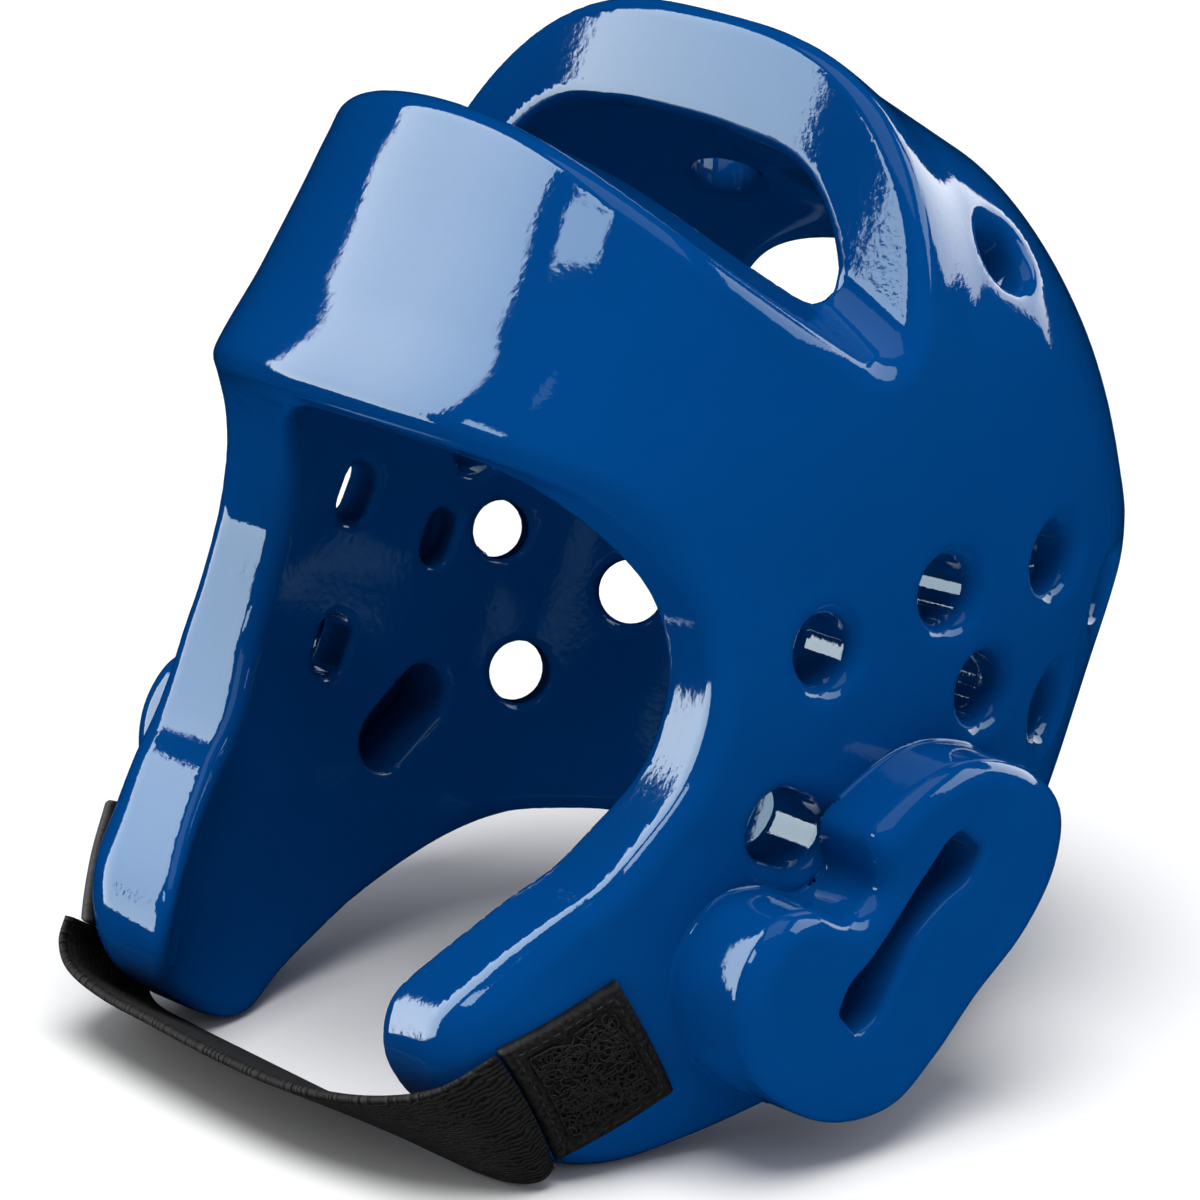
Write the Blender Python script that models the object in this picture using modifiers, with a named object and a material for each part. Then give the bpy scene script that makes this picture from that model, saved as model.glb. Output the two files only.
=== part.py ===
"""Sparring headgear of thick dipped foam, with ear pads and a woven chin strap.

Everything is modelled in the upright frame of the head: +X is the wearer's left, the face looks
along -Y, +Z is up, and the origin is midway between the front vents of the temples. An empty
then leans the whole guard back, as it lies by itself on its nape and its cheeks.
"""
import math

import bmesh
import bpy
import numpy as np
from mathutils import Matrix, Vector

# Driving sizes, in metres and degrees
LEAN_BACK = 26.0
REST_HEIGHT = -0.1012
CROWN_HEIGHT = 0.137
CROWN_WALL = 0.018
BACK_WALL = 0.0200
DOME_START = 0.020
CROWN_SLOPE = 1.15
CROWN_SLOPE_FROM = -0.054
FRONT_POWER = 3.0
BACK_POWER = 2.05
SIDE_ARCH_POWER = 2.7
FRONT_ARCH_POWER = 3.5
BACK_ARCH_POWER = 2.9
TOUCH_GAP = 0.0003

COLUMNS = 48
DOME_RINGS = 13
LEVEL_RINGS = 17

# Horizontal sections of the outer form, from the chin up to where the dome starts.
# Columns: height, half width, front, back, side wall, front wall
LEVELS = (
    (-0.155, 0.0640, 0.0920, 0.0750, 0.0240, 0.0040),
    (-0.140, 0.0740, 0.1030, 0.0850, 0.0250, 0.0090),
    (-0.120, 0.0840, 0.1110, 0.0930, 0.0255, 0.0155),
    (-0.106, 0.0885, 0.1135, 0.0970, 0.0265, 0.0173),
    (-0.089, 0.0915, 0.1140, 0.1000, 0.0262, 0.0175),
    (-0.074, 0.0930, 0.1210, 0.1015, 0.0255, 0.0235),
    (-0.056, 0.0945, 0.1400, 0.1030, 0.0250, 0.0330),
    (-0.040, 0.0960, 0.1750, 0.1045, 0.0237, 0.0450),
    (-0.022, 0.0965, 0.1800, 0.1060, 0.0230, 0.0530),
    (-0.008, 0.0960, 0.1500, 0.1070, 0.0222, 0.0360),
    (0.008, 0.0955, 0.1270, 0.1070, 0.0215, 0.0215),
    (0.020, 0.0950, 0.1270, 0.1070, 0.0215, 0.0215),
)

# Lower edge seen from the side: brow, front of the cheek, chin, neck and nape.
# The outer side of the wall drops lower and comes further forward than the inner side.
# Columns: depth, height, outer drop, outer advance
LOWER_EDGE = (
    (-0.2000, 0.0160, -0.003, 0.0000),
    (-0.1120, 0.0160, -0.003, 0.0000),
    (-0.0950, 0.0110, -0.002, 0.0010),
    (-0.0745, 0.0000, 0.000, 0.0060),
    (-0.0645, -0.0120, 0.000, 0.0084),
    (-0.0603, -0.0360, 0.000, 0.0084),
    (-0.0628, -0.0500, 0.000, 0.0084),
    (-0.0677, -0.0660, 0.000, 0.0084),
    (-0.0748, -0.0780, 0.000, 0.0084),
    (-0.0820, -0.0920, 0.000, 0.0084),
    (-0.0880, -0.1130, 0.000, 0.0075),
    (-0.0850, -0.1220, 0.000, 0.0050),
    (-0.0770, -0.1290, 0.000, 0.0030),
    (-0.0640, -0.1325, 0.000, 0.0010),
    (-0.0500, -0.1335, 0.001, 0.0000),
    (-0.0380, -0.1305, 0.004, 0.0000),
    (-0.0250, -0.1170, 0.012, 0.0000),
    (0.0020, -0.0890, 0.018, 0.0000),
    (0.0250, -0.0700, 0.016, 0.0000),
    (0.0470, -0.0600, 0.012, 0.0000),
    (0.0670, -0.0550, 0.008, 0.0000),
    (0.0900, -0.0610, 0.005, 0.0000),
    (0.1120, -0.0665, 0.003, 0.0000),
    (0.1500, -0.0700, 0.003, 0.0000),
)
INNER_EDGE_X = 0.040
MIDDLE_EDGE_X = 0.066
OUTER_EDGE_X = 0.096
CUT_REACH = 0.150
CUT_DEPTH = -0.200

# Crescent opening over the forehead, between the band's arched top and the crown's bowed front edge
BAND_TOP = 0.0935
BAND_TILT = -0.085
BAND_ARCH = -2.2
BAND_FALL = -0.05
BAND_FRONT = -0.114
CROWN_EDGE_DEPTH = -0.0555
CROWN_EDGE_BOW = 1.45
CRESCENT_CORNER = 0.011
CRESCENT_STATIONS = (-0.130, -0.085, -0.065, -0.045, -0.022, 0.0, 0.022, 0.045, 0.065, 0.085, 0.130)

# Opening high at the back, which runs round the head
REAR_HEIGHT = 0.081
REAR_HALF_TURN = 52.0
REAR_HALF_HEIGHT = 0.023
REAR_POWER = 3.0
REAR_REACH = (0.030, 0.200)

# Round vents, 1 for the left side and -1 for the right. Aim and rise turn the bore and turn lays
# the stretch, in degrees.
# Columns: side, x, depth, height, aim, rise, radius, stretch, turn
VENTS = (
    (1, 0.0950, -0.0420, 0.0000, -8.0, 0.0, 0.0085, 0.0, 0.0),
    (1, 0.0950, -0.0090, 0.0230, -2.0, 3.0, 0.0085, 0.0, 0.0),
    (1, 0.0919, 0.0260, 0.0395, 12.0, 6.0, 0.0085, 0.0, 0.0),
    (1, 0.0774, 0.0627, 0.0369, 38.0, 6.0, 0.0085, 0.0, 0.0),
    (1, 0.0955, -0.0345, -0.0420, -6.0, 0.0, 0.0090, 0.003, 0.0),
    (1, 0.0955, 0.0138, 0.0040, 6.0, 0.0, 0.0085, 0.0, 0.0),
    (1, 0.0860, 0.0465, 0.0055, 27.0, 0.0, 0.0085, 0.0, 0.0),
    (1, 0.0900, 0.0310, -0.0290, 16.0, 0.0, 0.0085, 0.0, 0.0),
    (1, 0.0950, -0.0100, -0.0540, 0.0, 0.0, 0.0075, 0.010, 55.0),
    (1, 0.0755, -0.0080, 0.1046, -3.0, 42.0, 0.0080, 0.001, 0.0),
    (-1, 0.0840, -0.0398, 0.0000, 22.0, 0.0, 0.0050, 0.003, 90.0),
    (-1, 0.0950, -0.0090, 0.0230, -2.0, 3.0, 0.0085, 0.0, 0.0),
    (-1, 0.0919, 0.0260, 0.0395, 12.0, 6.0, 0.0085, 0.0, 0.0),
    (-1, 0.0774, 0.0627, 0.0369, 38.0, 6.0, 0.0085, 0.0, 0.0),
    (-1, 0.0830, -0.0315, -0.0380, 22.0, 0.0, 0.0050, 0.003, 90.0),
    (-1, 0.0840, 0.0160, 0.0030, 38.0, 0.0, 0.0075, 0.0, 0.0),
    (-1, 0.0690, 0.0545, -0.0010, 46.0, 0.0, 0.0083, 0.0, 0.0),
    (-1, 0.0770, 0.0325, -0.0298, 38.0, 0.0, 0.0080, 0.0, 0.0),
    (-1, 0.0840, -0.0040, -0.0500, 8.0, 0.0, 0.0080, 0.008, 55.0),
    (-1, 0.0480, 0.0110, 0.1180, 10.0, 62.0, 0.0085, 0.0, 0.0),
)
VENT_SIDES = 12
VENT_LENGTH = 0.080

# Outline of the left ear pad's raised face, seen from the side
PAD_FACE_X = 0.117
PAD_ROOT_X = 0.070
PAD_BEVEL = 0.007
PAD_OUTLINE = (
    (-0.027, -0.036), (-0.010, -0.016), (0.012, -0.010), (0.030, -0.015), (0.036, -0.030),
    (0.033, -0.048), (0.024, -0.066), (0.017, -0.083), (0.008, -0.097), (-0.010, -0.104),
    (-0.032, -0.101), (-0.047, -0.091), (-0.0525, -0.077), (-0.049, -0.063), (-0.038, -0.057),
    (-0.026, -0.056), (-0.020, -0.047),
)
# Columns: name, side, how much higher it sits
PADS = (("ear_pad_left", 1.0, 0.0), ("ear_pad_right", -1.0, 0.008))
# Sound slot of the ear pad: a bent channel round its middle line.
# Columns: depth, height, half width
SLOT = (
    (0.001, -0.030, 0.0045),
    (-0.001, -0.036, 0.006),
    (-0.006, -0.045, 0.0045),
    (-0.0105, -0.056, 0.0042),
    (-0.0135, -0.066, 0.0048),
    (-0.0165, -0.074, 0.006),
    (-0.019, -0.079, 0.0045),
)
SLOT_REACH = (0.050, 0.130)

# Chin strap: where its front and rear edges lie, and how far the foam bows its middle outward.
# Columns: front x, front depth, front height, rear x, rear depth, rear height, bow
STRAP_WIDTH = 0.0345
STRAP_THICKNESS = 0.0024
STRAP = (
    (0.0756, -0.0826, -0.1128, 0.0770, -0.0560, -0.1336, 0.0028),
    (0.0725, -0.0878, -0.1200, 0.0768, -0.0580, -0.1368, 0.0030),
    (0.0680, -0.0908, -0.1252, 0.0715, -0.0595, -0.1392, 0.0020),
    (0.0580, -0.0925, -0.1300, 0.0620, -0.0605, -0.1402, 0.0),
    (0.0420, -0.0935, -0.1345, 0.0460, -0.0610, -0.1401, 0.0),
    (0.0220, -0.0940, -0.1370, 0.0230, -0.0600, -0.1397, 0.0),
    (-0.0050, -0.0930, -0.1370, -0.0050, -0.0585, -0.1391, 0.0),
    (-0.0300, -0.0910, -0.1360, -0.0310, -0.0570, -0.1385, 0.0),
    (-0.0520, -0.0885, -0.1352, -0.0550, -0.0545, -0.1380, 0.0),
    (-0.0680, -0.0870, -0.1325, -0.0720, -0.0535, -0.1368, -0.0015),
    (-0.0750, -0.0862, -0.1275, -0.0803, -0.0525, -0.1315, -0.0020),
    (-0.0765, -0.0855, -0.1213, -0.0835, -0.0512, -0.1250, -0.0020),
)
STRAP_STEPS = 3

# Strap patches, seen from the side.
# Columns: name, side, depth and height of the middle, turn in degrees
PATCH_LENGTH = 0.0295
PATCH_THICKNESS = 0.0030
PATCHES = (
    ("strap_patch_left", 1.0, -0.0598, -0.1093, 36.0),
    ("strap_patch_right", -1.0, -0.0668, -0.1075, 6.0),
)
PATCH_CELLS = 6


def row_at(table, value):
    """Return a table's other columns at a value of its first one, on a smooth curve through the rows."""
    rows = np.array(table)
    keys = rows[:, 0]
    value = min(max(value, keys[0]), keys[-1])
    slopes = np.gradient(rows[:, 1:], keys, axis=0)
    i = min(max(int(np.searchsorted(keys, value)) - 1, 0), len(keys) - 2)
    span = keys[i + 1] - keys[i]
    t = (value - keys[i]) / span
    start = (2 * t**3 - 3 * t**2 + 1) * rows[i, 1:] + (t**3 - 2 * t**2 + t) * span * slopes[i]
    end = (3 * t**2 - 2 * t**3) * rows[i + 1, 1:] + (t**3 - t**2) * span * slopes[i + 1]
    return start + end


def smooth_line(points, steps, closed=False):
    """Return points on a Catmull-Rom curve through the given ones."""
    rows = [np.array(p, dtype=float) for p in points]
    count = len(rows)
    line = []
    for i in range(count if closed else count - 1):
        if closed:
            a, b, c, d = (rows[(i + k) % count] for k in (-1, 0, 1, 2))
        else:
            a, b, c, d = (rows[min(max(i + k, 0), count - 1)] for k in (-1, 0, 1, 2))
        for k in range(steps):
            t = k / steps
            bend = (2 * a - 5 * b + 4 * c - d) * t**2 + (3 * b - a - 3 * c + d) * t**3
            line.append(0.5 * (2 * b + (c - a) * t + bend))
    if not closed:
        line.append(rows[-1])
    return line


def section_sizes(height, inside):
    """Return half width, front and back of the form at a height, on its outer or its inner side."""
    half_width, front, back, side_wall, front_wall = row_at(LEVELS, height)
    if inside:
        return half_width - side_wall, front - front_wall, back - BACK_WALL
    return half_width, front, back


def section_point(half_width, front, back, angle):
    """Return the unit section's x and y at an angle, a rounder curve behind the ears than in front."""
    power = 2.0 / (BACK_POWER if math.sin(angle) > 0 else FRONT_POWER)
    reach = back if math.sin(angle) > 0 else front
    x = half_width * math.copysign(abs(math.cos(angle)) ** power, math.cos(angle))
    y = reach * math.copysign(abs(math.sin(angle)) ** power, math.sin(angle))
    return x, y


def dome_point(sizes, crown, angle, climb):
    """Return a point of the dome at an angle round the head and a climb from its rim to the crown."""
    long_arch = BACK_ARCH_POWER if math.sin(angle) > 0 else FRONT_ARCH_POWER
    arch = 2.0 / (SIDE_ARCH_POWER + (long_arch - SIDE_ARCH_POWER) * math.sin(angle) ** 2)
    x, y = section_point(*sizes, angle)
    scale = math.cos(climb) ** arch
    rise = (crown - DOME_START) * math.sin(climb) ** arch
    x, y = x * scale, y * scale
    slope = 1.0 - CROWN_SLOPE * (y - CROWN_SLOPE_FROM)
    return Vector((x, y, DOME_START + rise * slope))


def surface_x(depth, height):
    """Return the half width of the outer form at a depth and a height below the dome."""
    half_width, front, back = section_sizes(height, inside=False)
    reach, power = (back, BACK_POWER) if depth > 0 else (front, FRONT_POWER)
    return half_width * (1.0 - min(abs(depth) / reach, 1.0) ** power) ** (1.0 / power)


def new_object(name, mesh, collection, parent):
    """Return a new object with the mesh, in the collection and under the parent."""
    obj = bpy.data.objects.new(name, mesh)
    collection.objects.link(obj)
    obj.parent = parent
    return obj


def skin(name, rings, closed_rings=True, caps=True):
    """Return a mesh lofted through rings of points, with its ends closed."""
    bm = bmesh.new()
    rows = [[bm.verts.new(p) for p in ring] for ring in rings]
    for low, high in zip(rows, rows[1:]):
        count = len(low)
        for i in range(count if closed_rings else count - 1):
            k = (i + 1) % count
            bm.faces.new((low[i], low[k], high[k], high[i]))
    if caps:
        bm.faces.new(rows[0][::-1])
        bm.faces.new(rows[-1])
    bmesh.ops.recalc_face_normals(bm, faces=bm.faces)
    bmesh.ops.triangulate(bm, faces=bm.faces)
    mesh = bpy.data.meshes.new(name)
    bm.to_mesh(mesh)
    bm.free()
    return mesh


def form_mesh(name, inside=False, grow=0.0, extra_depth=0.0):
    """Return the closed mesh of the whole form, outer or inner, with every size grown by a little."""
    angles = [2 * math.pi * i / COLUMNS for i in range(COLUMNS)]
    bottom = LEVELS[0][0]
    rings = []
    for k in range(LEVEL_RINGS):
        height = bottom + (DOME_START - bottom) * k / LEVEL_RINGS
        sizes = [size + grow for size in section_sizes(height, inside)]
        drop = extra_depth if k == 0 else 0.0
        rings.append([Vector((*section_point(*sizes, a), height - drop)) for a in angles])
    sizes = [size + grow for size in section_sizes(DOME_START, inside)]
    crown = CROWN_HEIGHT + grow - (CROWN_WALL if inside else 0.0)
    for k in range(DOME_RINGS):
        climb = 0.5 * math.pi * k / DOME_RINGS
        rings.append([dome_point(sizes, crown, a, climb) for a in angles])
    return skin(name, rings)


def edge_sections():
    """Return the side outlines of the lower cut, one for each place across the head."""
    edge = smooth_line(LOWER_EDGE, 2)
    middle = (MIDDLE_EDGE_X - INNER_EDGE_X) / (OUTER_EDGE_X - INNER_EDGE_X)
    half = [(INNER_EDGE_X, 0.0, 0.0), (MIDDLE_EDGE_X, middle, 0.0)]
    half += [(OUTER_EDGE_X, 1.0, 1.0), (CUT_REACH, 1.0, 1.0)]
    stations = [(-x, advance, drop) for x, advance, drop in half[::-1]] + half
    sections = []
    for x, advance_share, drop_share in stations:
        ring = []
        for depth, height, drop, advance in edge:
            ring.append(Vector((x, depth - advance_share * advance, height - drop_share * drop)))
        ring.append(Vector((x, edge[-1][0], CUT_DEPTH)))
        ring.append(Vector((x, edge[0][0], CUT_DEPTH)))
        sections.append(ring)
    return sections


def band_top(x, depth):
    """Return how high the band's arched top is at a place."""
    return BAND_TOP + BAND_TILT * x + BAND_ARCH * x * x + BAND_FALL * (depth - BAND_FRONT)


def crescent_sections():
    """Return the side outlines of the crescent cut, one for each place across the head."""
    sections = []
    for x in CRESCENT_STATIONS:
        edge = CROWN_EDGE_DEPTH + CROWN_EDGE_BOW * x * x
        floor = band_top(x, edge - CRESCENT_CORNER)
        far = BAND_FRONT - 0.070
        ring = [Vector((x, far, band_top(x, far)))]
        for k in range(5):
            turn = 0.5 * math.pi * k / 4
            depth = edge - CRESCENT_CORNER * (1.0 - math.sin(turn))
            ring.append(Vector((x, depth, floor + CRESCENT_CORNER * (1.0 - math.cos(turn)))))
        ring.append(Vector((x, edge, CROWN_HEIGHT + 0.040)))
        ring.append(Vector((x, far, CROWN_HEIGHT + 0.040)))
        sections.append(ring)
    return sections


def rear_sections():
    """Return the inner and the outer outline of the opening at the back, round the head's axis."""
    sections = []
    for reach in REAR_REACH:
        ring = []
        for k in range(24):
            angle = 2 * math.pi * k / 24
            c, s = math.cos(angle), math.sin(angle)
            turn = math.radians(REAR_HALF_TURN) * math.copysign(abs(c) ** (2 / REAR_POWER), c)
            z = REAR_HALF_HEIGHT * math.copysign(abs(s) ** (2 / REAR_POWER), s)
            ring.append(Vector((reach * math.sin(turn), reach * math.cos(turn), REAR_HEIGHT + z)))
        sections.append(ring)
    return sections


def vent_mesh():
    """Return one mesh with a bore for each vent of both sides."""
    bm = bmesh.new()
    for side, x, depth, height, aim, rise, radius, stretch, lay in VENTS:
        aim, rise = math.radians(aim), math.radians(rise)
        bore = Vector((math.cos(aim) * math.cos(rise), math.sin(aim) * math.cos(rise), math.sin(rise)))
        turn = bore.to_track_quat("Z", "Y").to_matrix().to_4x4()
        made = bmesh.ops.create_cone(
            bm, cap_ends=True, segments=VENT_SIDES, radius1=radius, radius2=radius, depth=VENT_LENGTH
        )["verts"]
        for vert in made:
            vert.co.y += math.copysign(stretch, vert.co.y) if abs(vert.co.y) > radius / 10 else 0.0
        spin = Matrix.Rotation(math.radians(90.0 - lay), 4, "Z")
        bmesh.ops.transform(bm, verts=made, matrix=Matrix.Translation((x, depth, height)) @ turn @ spin)
        bmesh.ops.scale(bm, verts=made, vec=(side, 1.0, 1.0))
    bmesh.ops.recalc_face_normals(bm, faces=bm.faces)
    mesh = bpy.data.meshes.new("vents")
    bm.to_mesh(mesh)
    bm.free()
    return mesh


def cutter(name, mesh, collection, parent):
    """Return a hidden object that only cuts."""
    obj = new_object(name, mesh, collection, parent)
    obj.hide_render = True
    obj.display_type = "WIRE"
    return obj


def cut(obj, tool):
    """Add a Boolean difference with the tool to an object, allowing for vents whose bores cross."""
    modifier = obj.modifiers.new(tool.name, "BOOLEAN")
    modifier.operation = "DIFFERENCE"
    modifier.object = tool
    modifier.use_self = tool.name == "vent_cut"


def plate_mesh(name, outline, low_x, high_x):
    """Return a closed plate with a side outline, from one x to another."""
    return skin(name, [[Vector((x, y, z)) for y, z in outline] for x in (low_x, high_x)])


def slot_outline():
    """Return the side outline of the sound slot round its middle line."""
    line = smooth_line(SLOT, 2)
    left, right = [], []
    for i, (depth, height, half) in enumerate(line):
        before, after = line[max(i - 1, 0)], line[min(i + 1, len(line) - 1)]
        run = Vector((after[0] - before[0], after[1] - before[1])).normalized()
        left.append((depth - run.y * half, height + run.x * half))
        right.append((depth + run.y * half, height - run.x * half))
    return left + right[::-1]


def ear_pad(name, side, raised, pieces, cutters, parent, form):
    """Add one ear pad: a bean with round edges, seated on the foam, with its slot cut through."""
    outline = [(depth, height + raised) for depth, height in smooth_line(PAD_OUTLINE, 2, closed=True)]
    pad = new_object(name, plate_mesh(name, outline, PAD_ROOT_X * side, PAD_FACE_X * side), pieces, parent)
    bevel = pad.modifiers.new("round_edge", "BEVEL")
    bevel.width = PAD_BEVEL
    bevel.segments = 3
    bevel.limit_method = "ANGLE"
    bevel.angle_limit = math.radians(60.0)
    channel = [(depth, height + raised) for depth, height in slot_outline()]
    channel_mesh = plate_mesh(name + "_slot", channel, *(x * side for x in SLOT_REACH))
    slot = cutter(name + "_slot", channel_mesh, cutters, parent)
    cut(pad, form)
    cut(pad, slot)
    return pad


def strap_mesh():
    """Return the open middle surface of the chin strap."""
    rings = []
    for row in smooth_line(STRAP, STRAP_STEPS):
        front, rear, bow = Vector(row[:3]), Vector(row[3:6]), Vector((row[6], 0.0, 0.0))
        rings.append([front, (front + rear) / 2 + bow, rear])
    return skin("chin_strap", rings, closed_rings=False, caps=False)


def patch_mesh(name, side, depth, height, turn):
    """Return a strap patch that follows the curve of the cheek."""
    turn = math.radians(turn)
    run = Vector((-math.sin(turn), -math.cos(turn)))
    across = Vector((math.cos(turn), -math.sin(turn)))
    layers = []
    for lift in (-PATCH_THICKNESS, PATCH_THICKNESS):
        grid = []
        for i in range(PATCH_CELLS + 1):
            for k in range(PATCH_CELLS + 1):
                spot = run * PATCH_LENGTH * (i / PATCH_CELLS - 0.5)
                spot += across * STRAP_WIDTH * (k / PATCH_CELLS - 0.5)
                y, z = depth + spot.x, height + spot.y
                grid.append(Vector((side * (surface_x(y, z) + lift), y, z)))
        layers.append(grid)
    count = PATCH_CELLS + 1
    bm = bmesh.new()
    low, high = ([bm.verts.new(p) for p in grid] for grid in layers)
    for layer in (low, high):
        for i in range(PATCH_CELLS):
            for k in range(PATCH_CELLS):
                a = i * count + k
                bm.faces.new((layer[a], layer[a + 1], layer[a + count + 1], layer[a + count]))
    last = PATCH_CELLS
    border = [k for k in range(last)] + [k * count + last for k in range(last)]
    border += [last * count + last - k for k in range(last)] + [(last - k) * count for k in range(last)]
    for a, b in zip(border, border[1:] + border[:1]):
        bm.faces.new((low[a], low[b], high[b], high[a]))
    bmesh.ops.recalc_face_normals(bm, faces=bm.faces)
    mesh = bpy.data.meshes.new(name)
    bm.to_mesh(mesh)
    bm.free()
    return mesh


def material(name, colour, roughness):
    """Return a plain material with a colour and a roughness."""
    made = bpy.data.materials.new(name)
    made.use_nodes = True
    shader = made.node_tree.nodes["Principled BSDF"]
    shader.inputs["Base Color"].default_value = (*colour, 1.0)
    shader.inputs["Roughness"].default_value = roughness
    shader.inputs["Metallic"].default_value = 0.0
    made.diffuse_color = (*colour, 1.0)
    return made


def centre_depth(pieces):
    """Return the middle of the pieces' world box from front to back."""
    depsgraph = bpy.context.evaluated_depsgraph_get()
    depths = []
    for obj in pieces.objects:
        if obj.type == "MESH":
            shape = obj.evaluated_get(depsgraph)
            depths += [(shape.matrix_world @ vertex.co).y for vertex in shape.data.vertices]
    return (min(depths) + max(depths)) / 2


def build():
    """Build the guard."""
    for obj in list(bpy.data.objects):
        bpy.data.objects.remove(obj, do_unlink=True)
    pieces = bpy.data.collections.new("sparring_headgear")
    cutters = bpy.data.collections.new("cutters")
    for collection in (pieces, cutters):
        bpy.context.scene.collection.children.link(collection)
    lean = bpy.data.objects.new("lean", None)
    pieces.objects.link(lean)
    lean.rotation_euler = (math.radians(-LEAN_BACK), 0.0, 0.0)
    lean.location = (0.0, 0.0, -REST_HEIGHT)

    foam = material("blue_foam", (0.012, 0.05, 0.42), 0.18)
    webbing = material("black_webbing", (0.012, 0.012, 0.014), 0.8)
    loops = material("black_loop_tape", (0.010, 0.010, 0.012), 0.95)

    hollow = cutter("hollow", form_mesh("hollow", inside=True, extra_depth=0.010), cutters, lean)
    lower = cutter("lower_cut", skin("lower_cut", edge_sections()), cutters, lean)
    crescent = cutter("crescent_cut", skin("crescent_cut", crescent_sections()), cutters, lean)
    rear = cutter("rear_cut", skin("rear_cut", rear_sections()), cutters, lean)
    vents = cutter("vent_cut", vent_mesh(), cutters, lean)
    ground_mesh = bpy.data.meshes.new("ground_cut")
    bm = bmesh.new()
    bmesh.ops.create_cube(bm, size=0.6, matrix=Matrix.Translation((0.0, 0.0, -0.3)))
    bm.to_mesh(ground_mesh)
    bm.free()
    ground = cutter("ground_cut", ground_mesh, cutters, None)

    shell = new_object("shell", form_mesh("shell"), pieces, lean)
    for tool in (hollow, lower, crescent, rear, vents, ground):
        cut(shell, tool)
    shell.data.materials.append(foam)

    form = cutter("form_seat", form_mesh("form_seat", grow=TOUCH_GAP), cutters, lean)
    for name, side, raised in PADS:
        ear_pad(name, side, raised, pieces, cutters, lean, form).data.materials.append(foam)

    strap = new_object("chin_strap", strap_mesh(), pieces, lean)
    thicken = strap.modifiers.new("thickness", "SOLIDIFY")
    thicken.thickness = STRAP_THICKNESS
    thicken.offset = 0.0
    strap.data.materials.append(webbing)

    for name, side, depth, height, turn in PATCHES:
        patch = new_object(name, patch_mesh(name, side, depth, height, turn), pieces, lean)
        cut(patch, form)
        patch.data.materials.append(loops)

    bpy.context.view_layer.update()
    lean.location.y -= centre_depth(pieces)
    bpy.context.view_layer.update()


build()
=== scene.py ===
"""Sparring head guard of dipped foam, dressed for a photograph.

The foam shell and the ear pads are described as distance fields in the upright frame of the head,
where +X is the wearer's left, the face looks along -Y and +Z is up. Each field is turned into an
even skin whose points and normals lie exactly on it, so that the gloss runs smoothly over every
rolled edge. The strap, its patches, the stitches and the loops are built as fine meshes.
"""
import sys
import logging
import math
from collections.abc import Callable
from dataclasses import dataclass, field
from enum import Enum

import bmesh
import bpy
import numpy as np
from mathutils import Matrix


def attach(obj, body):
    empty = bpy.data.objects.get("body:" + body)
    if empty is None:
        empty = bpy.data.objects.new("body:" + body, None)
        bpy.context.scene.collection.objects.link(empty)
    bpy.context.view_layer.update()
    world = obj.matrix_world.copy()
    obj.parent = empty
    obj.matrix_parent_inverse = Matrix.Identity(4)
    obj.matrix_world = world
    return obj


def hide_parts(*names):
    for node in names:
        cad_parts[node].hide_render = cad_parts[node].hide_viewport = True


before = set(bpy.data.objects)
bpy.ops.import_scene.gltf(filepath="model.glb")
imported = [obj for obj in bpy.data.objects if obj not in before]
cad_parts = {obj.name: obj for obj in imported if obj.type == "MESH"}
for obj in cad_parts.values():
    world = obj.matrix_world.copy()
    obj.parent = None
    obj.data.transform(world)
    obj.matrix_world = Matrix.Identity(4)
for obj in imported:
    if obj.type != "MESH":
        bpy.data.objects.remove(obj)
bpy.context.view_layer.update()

import openvdb
from mathutils import Matrix, Quaternion, Vector

Array = np.ndarray
Place = tuple[Array, Array, Array]
Colour = tuple[float, float, float]
Table = tuple[tuple[float, ...], ...]
Shape = Callable[[Place], Array]

log = logging.getLogger("head_guard")


class Side(Enum):
    """The two sides of the head, by the sign of x."""

    LEFT = 1.0
    RIGHT = -1.0

    @property
    def word(self) -> str:
        """The side's name in lower case."""
        return self.name.lower()


def rounded_max(first: Array, second: Array, radius: float | Array) -> Array:
    """Intersect two forms and roll the edge between them.

    Args:
        first: Signed distances to one form, negative inside.
        second: Signed distances to the other form.
        radius: The radius of the rolled edge, in metres.

    Returns:
        The signed distances to what both forms share.
    """
    flat = np.minimum(np.maximum(first, second), -radius)
    return flat + np.hypot(np.maximum(first + radius, 0.0), np.maximum(second + radius, 0.0))


def rounded_min(first: Array, second: Array, radius: float | Array) -> Array:
    """Join two forms and fill the crease between them.

    Args:
        first: Signed distances to one form, negative inside.
        second: Signed distances to the other form.
        radius: The radius of the fillet, in metres.

    Returns:
        The signed distances to the joined form.
    """
    return -rounded_max(-first, -second, radius)


def ease(value: Array, low: float, high: float) -> Array:
    """Rise smoothly from 0 to 1 between two values.

    Args:
        value: What the step is read at.
        low: Where the step starts.
        high: Where the step ends.

    Returns:
        The share, from 0 to 1.
    """
    share = np.clip((value - low) / (high - low), 0.0, 1.0)
    return share * share * (3.0 - 2.0 * share)


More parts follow.
